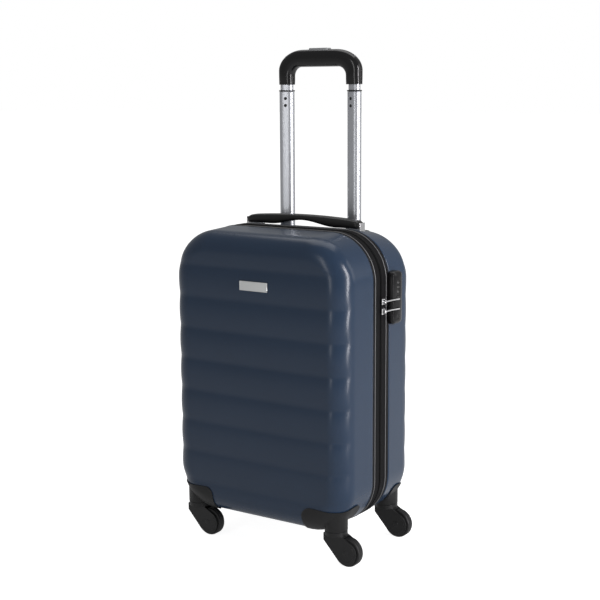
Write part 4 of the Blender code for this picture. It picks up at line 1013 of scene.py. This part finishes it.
def handleShape():
    # Sections across the handle, squared ovals between the under and over curves; over the
    # last stretch both half sizes shrink by sqrt(1 - q^2), with q up to 0.86.
    half, ease = handle["half"], handle["endRound"]
    share = np.sin(np.linspace(-math.pi / 2, math.pi / 2, 121))
    x = half * share
    q = 0.86 * ((np.abs(x) - (half - ease)) / ease).clip(0, 1)
    close = np.sqrt(1 - q**2)
    under, over = handleUnder(x), handleOver(x)
    middle, tall = (under + over) / 2, (over - under) / 2 * close
    wide = handle["width"] / 2 * (0.35 + 0.65 * close)
    angle = np.arange(56) * 2 * math.pi / 56
    power = handle["squareness"]
    c, s = (np.sign(f(angle)) * np.abs(f(angle)) ** power for f in (np.cos, np.sin))
    rings = np.stack([
        np.broadcast_to((x + case["centreX"])[:, None], (121, 56)),
        handle["y"] + wide[:, None] * c,
        middle[:, None] + tall[:, None] * s,
    ], -1)
    return cappedShape(rings)


def addCarryHandle():
    # The handle, less three rooms at each end: the bracket's, its post's and its head's.
    piece = addShape("carryHandle", handleShape(), finishes["handleRubber"], "carry_handle",
                     ["carry_handle"], 60)
    half, seat, gap = handle["half"], handle["seat"], case["gap"]
    foot = float(handleUnder(np.array([half]))[0])
    plateTop = seat + handle["bracketMetal"]
    ledge = plateTop + gap + 0.0018
    head = ledge + handle["lift"] + gap
    middle = half - handle["bracketLength"] / 2
    rooms = [
        (
            half - handle["bracketLength"] - gap, half + 0.002, handle["bracketWidth"] + 2 * gap,
            foot - 0.004, plateTop + gap
        ),
        (middle - 0.0043, middle + 0.0043, 0.0056, foot - 0.004, head),
        (middle - 0.0063, middle + 0.0063, 0.0096, ledge, head + 0.0025),
    ]
    for near, far, width, low, high in rooms:
        boxes = []
        for hand in (-1, 1):
            xs = sorted((case["centreX"] + hand * near, case["centreX"] + hand * far))
            y = handle["y"]
            ends = (xs[0], y - width / 2, low), (xs[1], y + width / 2, high)
            boxes.append(blockShape(*ends, 0.0, corner=0.0004))
        cutHoles(piece, boxes)
    piece.data.shade_smooth()
    piece.data.set_sharp_from_angle(angle=math.radians(40))
    for word in ("left", "right"):
        polishedCopy(
            word + "Bracket", "handle_bracket_" + word, finishes["zinc"], "rear_case", 0.0004, 2,
        )


addCarryHandle()
print("carry handle made")


# The trolley: oval tubes, collars and the grip in two halves.

trolley = {
    "tubeX": 0.0680,
    "tubeY": 0.0900,
    "turn": 16.0,
    "size": (0.0262, 0.0175),
    "wall": 0.0012,
    "clearance": 0.0006,
    "holeRadius": 0.0021,
    "holeDrops": (0.0140, 0.0260),
    "washer": 0.0027,
    "markDrops": (0.0580, 0.1615),
    "collarProud": 0.0009,
    "gripLeg": 0.0270,
    "gripHalfWidth": 0.0810,
    "gripClear": 0.0004,
    "gripDepth": 0.0225,
    "gripBar": 0.0290,
    "gripCorner": (0.0480, 0.0340),
    "gripInnerCorner": 0.0160,
    "gripCrown": 0.0012,
    "gripSquareness": 0.72,
    "seam": 0.00016,
}


def ovalSection(hand, grow, steps=14):
    # Two half rounds joined by flats, turned and set on the left or the right tube's axis.
    halfX, halfY = trolley["size"][0] / 2 + grow, trolley["size"][1] / 2 + grow
    flat = halfX - halfY
    points = np.concatenate([
        arcPoints((flat, 0), halfY, -90, 90, steps), arcPoints((-flat, 0), halfY, 90, 270, steps),
    ])
    turn = -hand * math.radians(trolley["turn"])
    cos, sin = math.cos(turn), math.sin(turn)
    x, y = points[:, 0] * cos - points[:, 1] * sin, points[:, 0] * sin + points[:, 1] * cos
    return np.stack([x + case["centreX"] + hand * trolley["tubeX"], y + trolley["tubeY"]], -1)


def tubeShape(hand, grow, wall, low, high, edge=0.00025):
    # An open tube: its outside and inside walls, and the two chamfered rims between them.
    inner = grow - wall
    walk = [(grow, low + edge), (grow, high - edge), (grow - edge, high), (inner + edge, high),
            (inner, high - edge), (inner, low + edge), (inner + edge, low), (grow - edge, low)]
    return gridShape(np.stack([lifted(ovalSection(hand, g), z, "z") for g, z in walk]), True, True)


def frontRod(hand, radius, near, far, height, across=0.0, steps=24):
    # A rod that stands square to the tube's turned front, from near to far of its axis.
    turn = -hand * math.radians(trolley["turn"])
    rod = turnedShape([(radius, near), (radius, far)], (across, 0, 0), "y", steps)
    points, faces = rod
    cos, sin = math.cos(turn), math.sin(turn)
    x, y = points[:, 0] * cos - points[:, 1] * sin, points[:, 0] * sin + points[:, 1] * cos
    place = (case["centreX"] + hand * trolley["tubeX"], trolley["tubeY"])
    return np.stack([x + place[0], y + place[1], points[:, 2] + height], -1), faces


def addTubes():
    # On each side one oval, grown or shrunk by walls and clearances, makes every tube.
    front = -trolley["size"][1] / 2
    for hand, word in ((-1, "left"), (1, "right")):
        low, high = boxOf("stage_tube_" + word)
        top = boxOf("stage_collar_" + word)[1][2]
        outer = addShape(
            word + "StageTube", tubeShape(
                hand, 0, trolley["wall"], low[2], high[2]
            ), finishes["aluminium"],
            "trolley_stage", ["stage_tube_" + word],
        )
        drops = trolley["holeDrops"]
        radius = trolley["holeRadius"]
        cutHoles(
            outer, [frontRod(hand, radius, front - 0.001, front + 0.003, top - d) for d in drops]
        )
        outer.data.shade_smooth()
        outer.data.set_sharp_from_angle(angle=math.radians(35))
        pins = [
            frontRod(
                hand, radius - 0.0001, front - 0.0001, front + trolley["wall"], top - d
            ) for d in drops
        ]
        pins += [
            frontRod(
                hand, trolley["washer"], front - 0.00015, front + 0.0003, top - d
            ) for d in drops
        ]
        pins += [
            frontRod(hand, 0.0008, front + 0.0037, front + 0.0060, top - d, -hand * 0.0112)
            for d in trolley["markDrops"]
        ]
        addShape(
            word + "LockPins", joined(pins), finishes["matteBlack"], "trolley_stage", [],
        )
        low, high = boxOf("stage_collar_" + word)
        proud = trolley["collarProud"]
        collar = tubeShape(hand, proud, trolley["wall"] + proud, low[2], high[2], 0.0005)
        addShape(word + "Collar", collar, finishes["matteBlack"], "trolley_stage",
                 ["stage_collar_" + word])
        low, high = boxOf("grip_tube_" + word)
        inner = -trolley["wall"] - trolley["clearance"]
        addShape(word + "GripTube", tubeShape(hand, inner, trolley["wall"], low[2], high[2]),
                 finishes["aluminium"], "trolley_grip", ["grip_tube_" + word])
        low, high = boxOf("guide_tube_" + word)
        grow = trolley["wall"] + trolley["clearance"]
        addShape(word + "GuideTube", tubeShape(hand, grow, trolley["wall"], low[2], high[2]),
                 finishes["aluminium"], "rear_case", ["guide_tube_" + word])


def gripCurves(bottom, top, steps=(8, 26, 26)):
    # The grip's outer and inner edges seen from the front, right half, point against point:
    # up the leg, round the shoulder, along the bar. The bar's top is crowned by 1 - (x / half)^2.
    outer, inner = trolley["gripHalfWidth"], trolley["gripHalfWidth"] - trolley["gripLeg"]
    reach, drop = trolley["gripCorner"]
    under, corner = top - trolley["gripBar"], trolley["gripInnerCorner"]
    leg = np.linspace(0, 1, steps[0], endpoint=False)[:, None]
    turn = np.linspace(0, math.pi / 2, steps[1], endpoint=False)[:, None]
    bar = np.linspace(0, 1, steps[2])[:, None]

    def line(a, b, share):
        return np.array(a) + (np.array(b) - np.array(a)) * share

    outside = np.concatenate([
        line((outer, bottom), (outer, top - drop), leg),
        np.hstack([outer - reach * (1 - np.cos(turn)), top - drop * (1 - np.sin(turn))]),
        line((outer - reach, top), (0, top), bar),
    ])
    crown = trolley["gripCrown"]
    outside[:, 1] -= crown * (outside[:, 0] / outer) ** 2 * (outside[:, 1] > top - drop)
    inside = np.concatenate([
        line((inner, bottom), (inner, under - corner), leg),
        np.hstack([inner - corner * (1 - np.cos(turn)), under - corner * (1 - np.sin(turn))]),
        line((inner - corner, under), (0, under), bar),
    ])
    return outside, inside


def gripShape(side, bottom, top):
    # One half of the grip: half a squared oval between the outer and the inner edge on every
    # station, pinched towards the tubes at the legs' ends, and closed by the parting plane.
    outside, inside = gripCurves(bottom, top)
    outside = np.concatenate([outside, outside[-2::-1] * [-1, 1]])
    inside = np.concatenate([inside, inside[-2::-1] * [-1, 1]])
    middle, reach = (outside + inside) / 2, (outside - inside) / 2
    rise = ((middle[:, 1] - bottom) / 0.016).clip(0, 1)
    pinch = 0.90 + 0.10 * np.sin(rise * math.pi / 2)
    angle = np.linspace(0, math.pi, 25)
    power = trolley["gripSquareness"]
    c = np.sign(np.cos(angle)) * np.abs(np.cos(angle)) ** power
    s = np.sin(angle).clip(0) ** power
    depth = trolley["gripDepth"] / 2 * pinch
    flat = middle[:, None] + reach[:, None] * (
        c[None, :, None] * (0.96 + 0.04 * pinch)[:, None, None]
    )
    y = trolley["tubeY"] + side * (trolley["seam"] + (depth[:, None] - trolley["seam"]) * s[None])
    rings = np.stack([flat[..., 0] + case["centreX"], y, flat[..., 1]], -1)
    return cappedShape(rings)


def addGrip():
    # Both halves of the grip, less the button's well, and the button.
    lowFront, highFront = boxOf("grip_front")
    bottom, top = lowFront[2] + trolley["gripClear"], highFront[2]
    low, high = boxOf("trolley_release_button")
    gap = case["gap"]
    well = blockShape(
        (low[0] - gap, low[1] - gap, top - 0.0108), (high[0] + gap, high[1] + gap, top + 0.004),
        0.0003, corner=0.0036,
    )
    for side, word in ((-1, "front"), (1, "rear")):
        half = addShape(word + "GripHalf", gripShape(side, bottom, top), finishes["glossBlack"],
                        "trolley_grip", ["grip_" + word])
        cutHoles(half, [well])
        half.data.shade_smooth()
        half.data.set_sharp_from_angle(angle=math.radians(40))
        addModifier(half, "BEVEL", width=0.0003, segments=2, limit_method="ANGLE",
                    angle_limit=math.radians(50), use_clamp_overlap=True)
    button = blockShape((low[0], low[1], low[2]), high, 0.0014, corner=0.0034, steps=5)
    addShape("releaseButton", button, finishes["button"], "trolley_release",
             ["trolley_release_button"])


addTubes()
addGrip()
polishedCopy(
    "trolleyBezel", "trolley_bezel", finishes["satinBlack"], "rear_case", 0.0008, 3,
)
polishedCopy(
    "footBlock", "trolley_foot_block", finishes["matteBlack"], "rear_case", 0.0006, 2,
)
print("trolley made")

# The wheel housings, forks, axles and wheels.

caster = {
    "skin": 0.0020,  # how far a housing stands outside the shell
    "sunk": 0.0020,  # how far it reaches into the shell's wall
    "innerX": 0.0905,
    "lobe": 0.0150,
    "lobeTop": 0.0935,
    "dip": 0.0022,
    "sidePeak": 0.0965,
    "sideEnd": 0.0580,  # how far back from the face the side lobe ends
    "neckRadius": 0.0190,
    "split": 0.0565,
    "neckTop": 0.0835,
    "turretTop": 0.0665,
    "edge": 0.0009,
    "treadRound": 0.0022,
    "hubRadius": 0.0120,
    "capRadius": 0.0052,
    "cheekRadius": 0.0198,
}


def easedLine(knots, steps=10):
    # A smooth line through knots, each stretch a half cosine in height.
    knots = np.asarray(knots, float)
    t = np.linspace(0, 1, steps, endpoint=False)
    pieces = []
    for a, b in zip(knots[:-1], knots[1:]):
        pieces.append(
            np.stack(
                [a[0] + (b[0] - a[0]) * t, a[1] + (b[1] - a[1]) * (1 - np.cos(math.pi * t)) / 2],
                -1
            )
        )
    return np.concatenate(pieces + [knots[-1:]])


def coreShape(side, outset, rim, upSteps=64, acrossSteps=44):
    # One half of the case as a closed solid: its cup and a flat face at its rim.
    points, faces = caseShape(side, outset, rim, upSteps=upSteps, acrossSteps=acrossSteps)
    count = 2 * (upSteps + acrossSteps)
    return points, faces + [np.arange(count)[None]]


def lobeOutlines(side):
    # The housing's region from the front, (across, z), and from the side, (depth, z).
    depth = case["frontDepth"] if side < 0 else case["rearDepth"]
    lobe, top, low = caster["lobe"], caster["lobeTop"], 0.030
    inner, dip = caster["innerX"], caster["lobeTop"] - caster["dip"]
    front = np.concatenate([
        [(0.195, low), (inner, low)], arcPoints((inner + lobe, top - lobe), lobe, 180, 95, 10),
        easedLine([(inner + 1.25 * lobe, top), (0.150, dip), (0.195, dip)])[1:],
    ])
    back = depth - caster["sideEnd"]
    flank = np.concatenate([
        [(depth + 0.015, low), (back, low)],
        arcPoints((back + lobe * 0.8, caster["sidePeak"] - lobe * 0.8), lobe * 0.8, 180, 95, 10),
        easedLine(
            [(back + lobe, caster["sidePeak"]), (depth - 0.012, dip), (depth + 0.015, dip)]
        )[1:],
    ])
    return front, flank


def housingShape(side, piece, swivel):
    # The right-hand housing: the case's own form, a little proud, kept inside the two lobes,
    # with the swivel's neck below it, hollowed to the shell and given its turret.
    x, y = swivel
    depth = case["frontDepth"] if side < 0 else case["rearDepth"]
    front, flank = lobeOutlines(side)
    front = front + [case["centreX"], 0]
    ys = sorted((y + side * 0.004, side * (depth + 0.012)))
    regionFront = slabShape(front, ys[0], ys[1], axis="y")
    flank = flank * [side, 1]
    regionSide = slabShape(flank, x + 0.012, x + 0.060, axis="x")
    boolMesh(piece, joined([regionFront, regionSide]), "INTERSECT", True)
    radius = caster["neckRadius"]
    room = turnedShape(
        [(radius + 0.0006, 0.0), (radius + 0.0006, caster["split"])], (x, y, 0), steps=56
    )
    cutHoles(piece, [room])
    edge = 0.0012
    neck = turnedShape(
        [(radius - edge, caster["split"]), (radius - 0.0004, caster["split"] + 0.0003),
         (radius, caster["split"] + edge), (radius, caster["neckTop"])], (x, y, 0), steps=56,
    )
    boolMesh(piece, neck, "UNION")
    cutHoles(piece, [coreShape(side, -caster["sunk"], 0.020)])
    turret = turnedShape(
        [(radius - 0.0005, caster["split"] + 0.0015),
            (radius - 0.0005, caster["turretTop"] - 0.0006),
         (radius - 0.0011, caster["turretTop"])], (x, y, 0), steps=56,
    )
    boolMesh(piece, turret, "UNION")
    stem = turnedShape(
        [(0.0048, caster["split"] - 0.001), (0.0048, caster["split"] + 0.0053)], (x, y, 0),
        steps=24
    )
    cutHoles(piece, [stem])


def mirroredMesh(mesh, name):
    # The same mesh on the case's other side: x -> 2 centreX - x, with its faces turned back.
    other = mesh.copy()
    other.name = name
    points = np.empty(len(other.vertices) * 3, np.float32)
    other.vertices.foreach_get("co", points)
    points = points.reshape(-1, 3)
    points[:, 0] = 2 * case["centreX"] - points[:, 0]
    other.vertices.foreach_set("co", points.ravel())
    other.flip_normals()
    other.update()
    return other


def addHousings():
    # The right housings are cut to shape, and the left ones are their mirror images.
    for side, word, body in ((-1, "front", "lid"), (1, "rear", "rear_case")):
        mesh = meshOf(f"{word}RightHousing", coreShape(side, caster["skin"], 0.035), sharp=0)
        piece = addPiece(
            mesh.name, mesh, finishes["matteBlack"], body, [f"wheel_housing_{word}_right"],
        )
        housingShape(side, piece, swivels[f"wheel_housing_{word}_right"])
        other = addPiece(f"{word}LeftHousing", mirroredMesh(piece.data, f"{word}LeftHousing"),
                         finishes["matteBlack"], body, [
                             f"wheel_housing_{word}_left"
                         ])
        for half in (piece, other):
            soften(half, caster["edge"], 3, 40)


def wheelShape(centre, radius, width):
    # Tyre and hub in one: rounded shoulders, two shallow grooves, a sunk web and a hub boss.
    half, shoulder, hub = width / 2, caster["treadRound"], caster["hubRadius"]
    turn = np.radians(np.linspace(90, 0, 6))
    side = np.stack(
        [radius - shoulder + shoulder * np.cos(turn), half - shoulder + shoulder * np.sin(turn)],
        -1
    )
    groove = [
        (radius, 0.0034), (radius - 0.0005, 0.0030), (radius - 0.0005, 0.0022), (radius, 0.0018)
    ]
    bore = 0.0033
    right = [(bore, half), (0.0062, half), (0.0066, half - 0.0004), (0.0072, half - 0.0012),
             (hub, half - 0.0012), (hub + 0.0012, half - 0.0002), (hub + 0.0020, half)]
    profile = np.concatenate([right, side, groove])
    profile = np.concatenate([profile, profile[::-1] * [1, -1]])
    angle = np.arange(64) * 2 * math.pi / 64
    rings = np.stack([
        centre[0] + profile[:, :1] * np.cos(angle), centre[1] + profile[:, 1:] + 0 * angle,
        centre[2] + profile[:, :1] * np.sin(angle),
    ], -1)
    return gridShape(rings, True, True)


def cheekDetail(centre, half):
    # On both cheeks: a cap over the axle's end and a raised arc near the cheek's rim.
    shapes = []
    for side in (-1, 1):
        y = centre[1] + side * half
        cap = [(0.0, 0.0007), (0.0030, 0.0006), (caster["capRadius"] - 0.0006, 0.0003),
               (caster["capRadius"], -0.0004), (0.0, -0.0004)]
        cap = [(r, side * h) for r, h in cap]
        shapes.append(turnedShape(cap, (centre[0], y, centre[2]), "y", 36))
        arc = arcPoints((centre[0], centre[2]), caster["cheekRadius"] - 0.0042, -150, 40, 40)
        path = np.stack([arc[:, 0], np.full(len(arc), y), arc[:, 1]], -1)
        shapes.append(alongPath(path, roundBox(0.0003, 0.0006, 0.00028, 2), (0, 1, 0)))
    return joined(shapes)


def addCasters():
    # Each corner's fork, axle, cheek details and wheel.
    for corner in corners:
        swivel, wheel = f"swivel_{corner}", f"wheel_{corner}"
        short = "".join(part.capitalize() for part in corner.split("_"))
        polishedCopy(
            "fork" + short, f"caster_fork_{corner}", finishes["satinMatte"], swivel, 0.0013, 3,
        )
        axleLow, axleHigh = boxOf(f"caster_axle_{corner}")
        axle = (axleLow + axleHigh) / 2
        polishedCopy(
            "axle" + short, f"caster_axle_{corner}", finishes["satinMatte"], swivel, 0.0003, 2,
        )
        addShape("cheeks" + short, cheekDetail(axle, (axleHigh[1] - axleLow[1]) / 2),
                 finishes["satinMatte"], swivel, [])
        low, high = boxOf(f"caster_wheel_{corner}")
        addShape("wheel" + short, wheelShape(axle, axle[2], high[1] - low[1]), finishes["tyre"],
                 wheel, [f"caster_wheel_{corner}"])


addHousings()
addCasters()
print("wheels made")


# The inside: linings, straps and the buckle.

inside = {
    "inset": 0.0060,
    "rim": 0.0060,
    "thickness": 0.0008,
    "ridgeHalf": 0.0165,
    "ridgeFront": 0.0752,
    "footTop": 0.0915,
    "bezelLow": 0.5000,
    "bezelFront": 0.0720,
    "bezelHalf": 0.0960,
    "turretRoom": 0.0215,
    "turretTop": 0.0690,
    "slack": 0.0011,
    "ease": 0.0060,  # width over which the cloth comes down beside what it covers
    "deepest": 0.1055,
    "footHalf": 0.0890,
    "sheetLength": 0.68,
    "strapWidth": 0.0250,
    "strapThickness": 0.0014,
}


def smoothStep(value, low, high):
    # t^2 (3 - 2t), with t going from 0 at low to 1 at high.
    t = ((value - low) / (high - low)).clip(0, 1)
    return t * t * (3 - 2 * t)


def wrinkles(points, seed):
    # Slack in a cloth: a few long waves crossing at angles, each with its own length and phase.
    random = np.random.default_rng(seed)
    total = np.zeros(points.shape[:-1])
    for _ in range(9):
        turn = random.uniform(0, math.pi)
        length = random.uniform(0.045, 0.16)
        phase = random.uniform(0, 2 * math.pi)
        along = points[..., 0] * math.cos(turn) + points[..., 2] * math.sin(turn)
        along += 0.5 * points[..., 1]
        total += np.sin(2 * math.pi * along / length + phase) * length / 0.16
    return total / 4


def liningShape(side):
    # The half's cup a little inside the shell, over the turrets and, in the rear half, over the
    # trolley: a point's depth is held under a limit that falls over each covered part.
    points, faces = caseShape(
        side, -inside["inset"], inside["rim"], pillows=False, upSteps=120, acrossSteps=84
    )
    x, z = points[:, 0] - case["centreX"], points[:, 2]
    if side > 0:
        ease, deepest = inside["ease"], inside["deepest"]
        half, top = inside["ridgeHalf"], inside["footTop"]
        tubes = 1 - smoothStep(np.abs(np.abs(x) - trolley["tubeX"]), half, half + ease)
        foot = 1 - smoothStep(np.abs(x), inside["footHalf"], inside["footHalf"] + 0.007)
        foot = foot * (1 - smoothStep(z, top, top + ease))
        limit = deepest - (deepest - inside["ridgeFront"]) * np.maximum(tubes, foot)
        mouth = 1 - smoothStep(np.abs(x), inside["bezelHalf"], inside["bezelHalf"] + ease)
        mouth = mouth * smoothStep(z, inside["bezelLow"] - ease, inside["bezelLow"])
        limit = limit - (limit - inside["bezelFront"]) * mouth
        points[:, 1] = np.minimum(points[:, 1], limit)
    for hand in (-1, 1):
        swivelX = hand * (case["halfWidth"] - case["swivelInset"])
        away = np.hypot(x - swivelX, points[:, 1] - side * case["swivelY"])
        over = 1 - smoothStep(away, inside["turretRoom"], inside["turretRoom"] + inside["ease"])
        points[:, 2] = np.maximum(z, z + over * (inside["turretTop"] - z))
        z = points[:, 2]
    middle = np.array([case["centreX"], 0.0, case["middleHeight"]])
    inward = (middle - points) / np.linalg.norm(middle - points, axis=1)[:, None]
    points = points + inward * (
        inside["slack"] * (0.6 + 0.5 * wrinkles(points, 7 + side)).clip(0, 1.4)
    )[:, None]
    return points, faces


def addLining(side, word, body):
    # A cloth a little inside its half, thickened inwards by a Solidify modifier.
    mesh = meshOf(word + "Lining", liningShape(side), sharp=0, solid=False)
    turnOutwards(mesh, (case["centreX"], 0.0, case["middleHeight"]))
    piece = addPiece(mesh.name, mesh, finishes["lining"], body, [word + "_lining"])
    addModifier(piece, "SOLIDIFY", thickness=inside["thickness"], offset=-1)


def webbingShape(low, high):
    # A flat upright strap: both faces of its section are ribbed by a cosine.
    steps = 60
    share = np.linspace(0, 1, steps)
    middle = (low + high) / 2
    path = np.stack([
        np.full(steps, middle[0]), np.full(steps, middle[1]),
        low[2] + share * (high[2] - low[2]),
    ], -1)
    half, thick = inside["strapWidth"] / 2, inside["strapThickness"] / 2
    across = np.linspace(-half + 0.0006, half - 0.0006, 25)
    rib = 0.00012 * np.cos(across * 2 * math.pi / 0.0031)
    section = np.concatenate([
        np.stack([across, -thick + 0.0001 + rib], -1), [(half, -thick * 0.4), (half, thick * 0.4)],
        np.stack(
            [across[::-1], thick - 0.0001 - rib], -1
        ), [(-half, thick * 0.4), (-half, -thick * 0.4)],
    ])
    return alongPath(path, section, (1, 0, 0))


def addStraps():
    # The two straps in the rear half and the two parts of their buckle.
    for word in ("lower", "upper"):
        low, high = boxOf("packing_strap_" + word)
        addShape(word + "Strap", webbingShape(low, high), finishes["webbing"], "rear_case",
                 ["packing_strap_" + word], 50)
    for word in ("socket", "plug"):
        polishedCopy(
            word + "Buckle", "buckle_" + word, finishes["satinBlack"], "rear_case", 0.0007, 3,
        )


addLining(-1, "front", "lid")
addLining(1, "rear", "rear_case")
addStraps()
print("inside made")


# The floor, the sky, the lamps and the camera.

stage = {
    "floorSize": 60.0,
    "floorColour": (0.50, 0.50, 0.50, 1),
    "floorGlow": 0.35,  # as a light on the case
    "floorSeen": 0.90,  # as the camera sees it
    "skyLight": 0.40,
    "skySeen": 1.0,
    # name: place, aim, size across and up, power, colour
    "lamps": {
        "rightStrip": ((2.3, -0.20, 0.85), (0.0, 0.0, 0.38), (0.34, 1.9), 72.0, (1.0, 0.98, 1.0)),
        "rightWash": ((1.9, 1.5, 1.3), (0.1, 0.0, 0.4), (0.9, 1.5), 8.0, (1.0, 1.0, 1.0)),
        "frontStrip": ((-0.10, -2.3, 1.0), (0.0, 0.0, 0.38), (0.34, 1.7), 9.0, (1.0, 1.0, 1.0)),
        "topSoftbox": ((-0.3, 0.6, 2.6), (0.0, 0.0, 0.3), (2.0, 1.6), 22.0, (1.0, 1.0, 1.0)),
    },
    "cameraPlace": (1.1718, -1.7439, 0.7631),
    "cameraAzimuth": 33.67,
    "cameraPitch": 9.565,
    "cameraRoll": 0.316,
    "lens": 76.1,
}


def seenOrLight(tree, light, seen):
    # One value for rays from the camera, another for all other rays.
    ray = addNode(tree, "LightPath").outputs["Is Camera Ray"]
    span = {"Value": ray, "To Min": light, "To Max": seen}
    return addNode(tree, "MapRange", span).outputs["Result"]


def addStage():
    # A wide pale floor that looks brighter to the camera than it lights the case.
    half = stage["floorSize"] / 2
    corners = np.array([(-half, -half, 0), (half, -half, 0), (half, half, 0), (-half, half, 0)])
    mesh = meshOf("floor", (corners, [np.arange(4)[None]]), sharp=0, solid=False)
    floor = bpy.data.objects.new("floor", mesh)
    bpy.context.scene.collection.objects.link(floor)
    paint = bpy.data.materials.new("paleFloor")
    paint.use_nodes = True
    shader = paint.node_tree.nodes["Principled BSDF"]
    shader.inputs["Base Color"].default_value = stage["floorColour"]
    shader.inputs["Roughness"].default_value = 0.9
    shader.inputs["Specular IOR Level"].default_value = 0.0
    shader.inputs["Emission Color"].default_value = (1, 1, 1, 1)
    glow = seenOrLight(paint.node_tree, stage["floorGlow"], stage["floorSeen"])
    paint.node_tree.links.new(glow, shader.inputs["Emission Strength"])
    mesh.materials.append(paint)


def addSky():
    # White to the eye, dimmer as a light.
    world = bpy.data.worlds.new("studio")
    bpy.context.scene.world = world
    world.use_nodes = True
    tree = world.node_tree
    backdrop = tree.nodes["Background"]
    backdrop.inputs["Color"].default_value = (1, 1, 1, 1)
    glow = seenOrLight(tree, stage["skyLight"], stage["skySeen"])
    tree.links.new(glow, backdrop.inputs["Strength"])


def addLamps():
    # Area lamps, each turned to its aim.
    for name, (place, aim, size, power, colour) in stage["lamps"].items():
        lamp = bpy.data.lights.new(name, "AREA")
        lamp.shape = "RECTANGLE"
        lamp.size, lamp.size_y = size
        lamp.energy = power
        lamp.color = colour
        holder = bpy.data.objects.new(name, lamp)
        bpy.context.scene.collection.objects.link(holder)
        holder.location = place
        holder.rotation_euler = (Vector(aim) - Vector(place)).to_track_quat("-Z", "Y").to_euler()


def addCamera():
    # The camera's axes follow from its azimuth, pitch and roll.
    azimuth, pitch, roll = (
        math.radians(stage[k]) for k in ("cameraAzimuth", "cameraPitch", "cameraRoll")
    )
    ahead = Vector(
        (
            -math.sin(azimuth) * math.cos(pitch), math.cos(azimuth) * math.cos(pitch),
            -math.sin(pitch)
        )
    )
    level = Vector((math.cos(azimuth), math.sin(azimuth), 0))
    above = level.cross(ahead)
    right = level * math.cos(roll) - above * math.sin(roll)
    up = above * math.cos(roll) + level * math.sin(roll)
    lens = bpy.data.cameras.new("camera")
    lens.lens, lens.sensor_width = stage["lens"], 36.0
    camera = bpy.data.objects.new("camera", lens)
    bpy.context.scene.collection.objects.link(camera)
    camera.matrix_world = Matrix((
        (right.x, up.x, -ahead.x, stage["cameraPlace"][0]),
        (right.y, up.y, -ahead.y, stage["cameraPlace"][1]),
        (right.z, up.z, -ahead.z, stage["cameraPlace"][2]),
        (0, 0, 0, 1),
    ))
    bpy.context.scene.camera = camera


addStage()
addSky()
addLamps()
addCamera()
bpy.context.scene.view_settings.view_transform = "Standard"
print("stage set")

# The carried nodes that still show, which are the release rods, get a finish too.
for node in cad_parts.values():
    if not node.hide_render:
        node.data.materials.clear()
        node.data.materials.append(finishes["steel"])
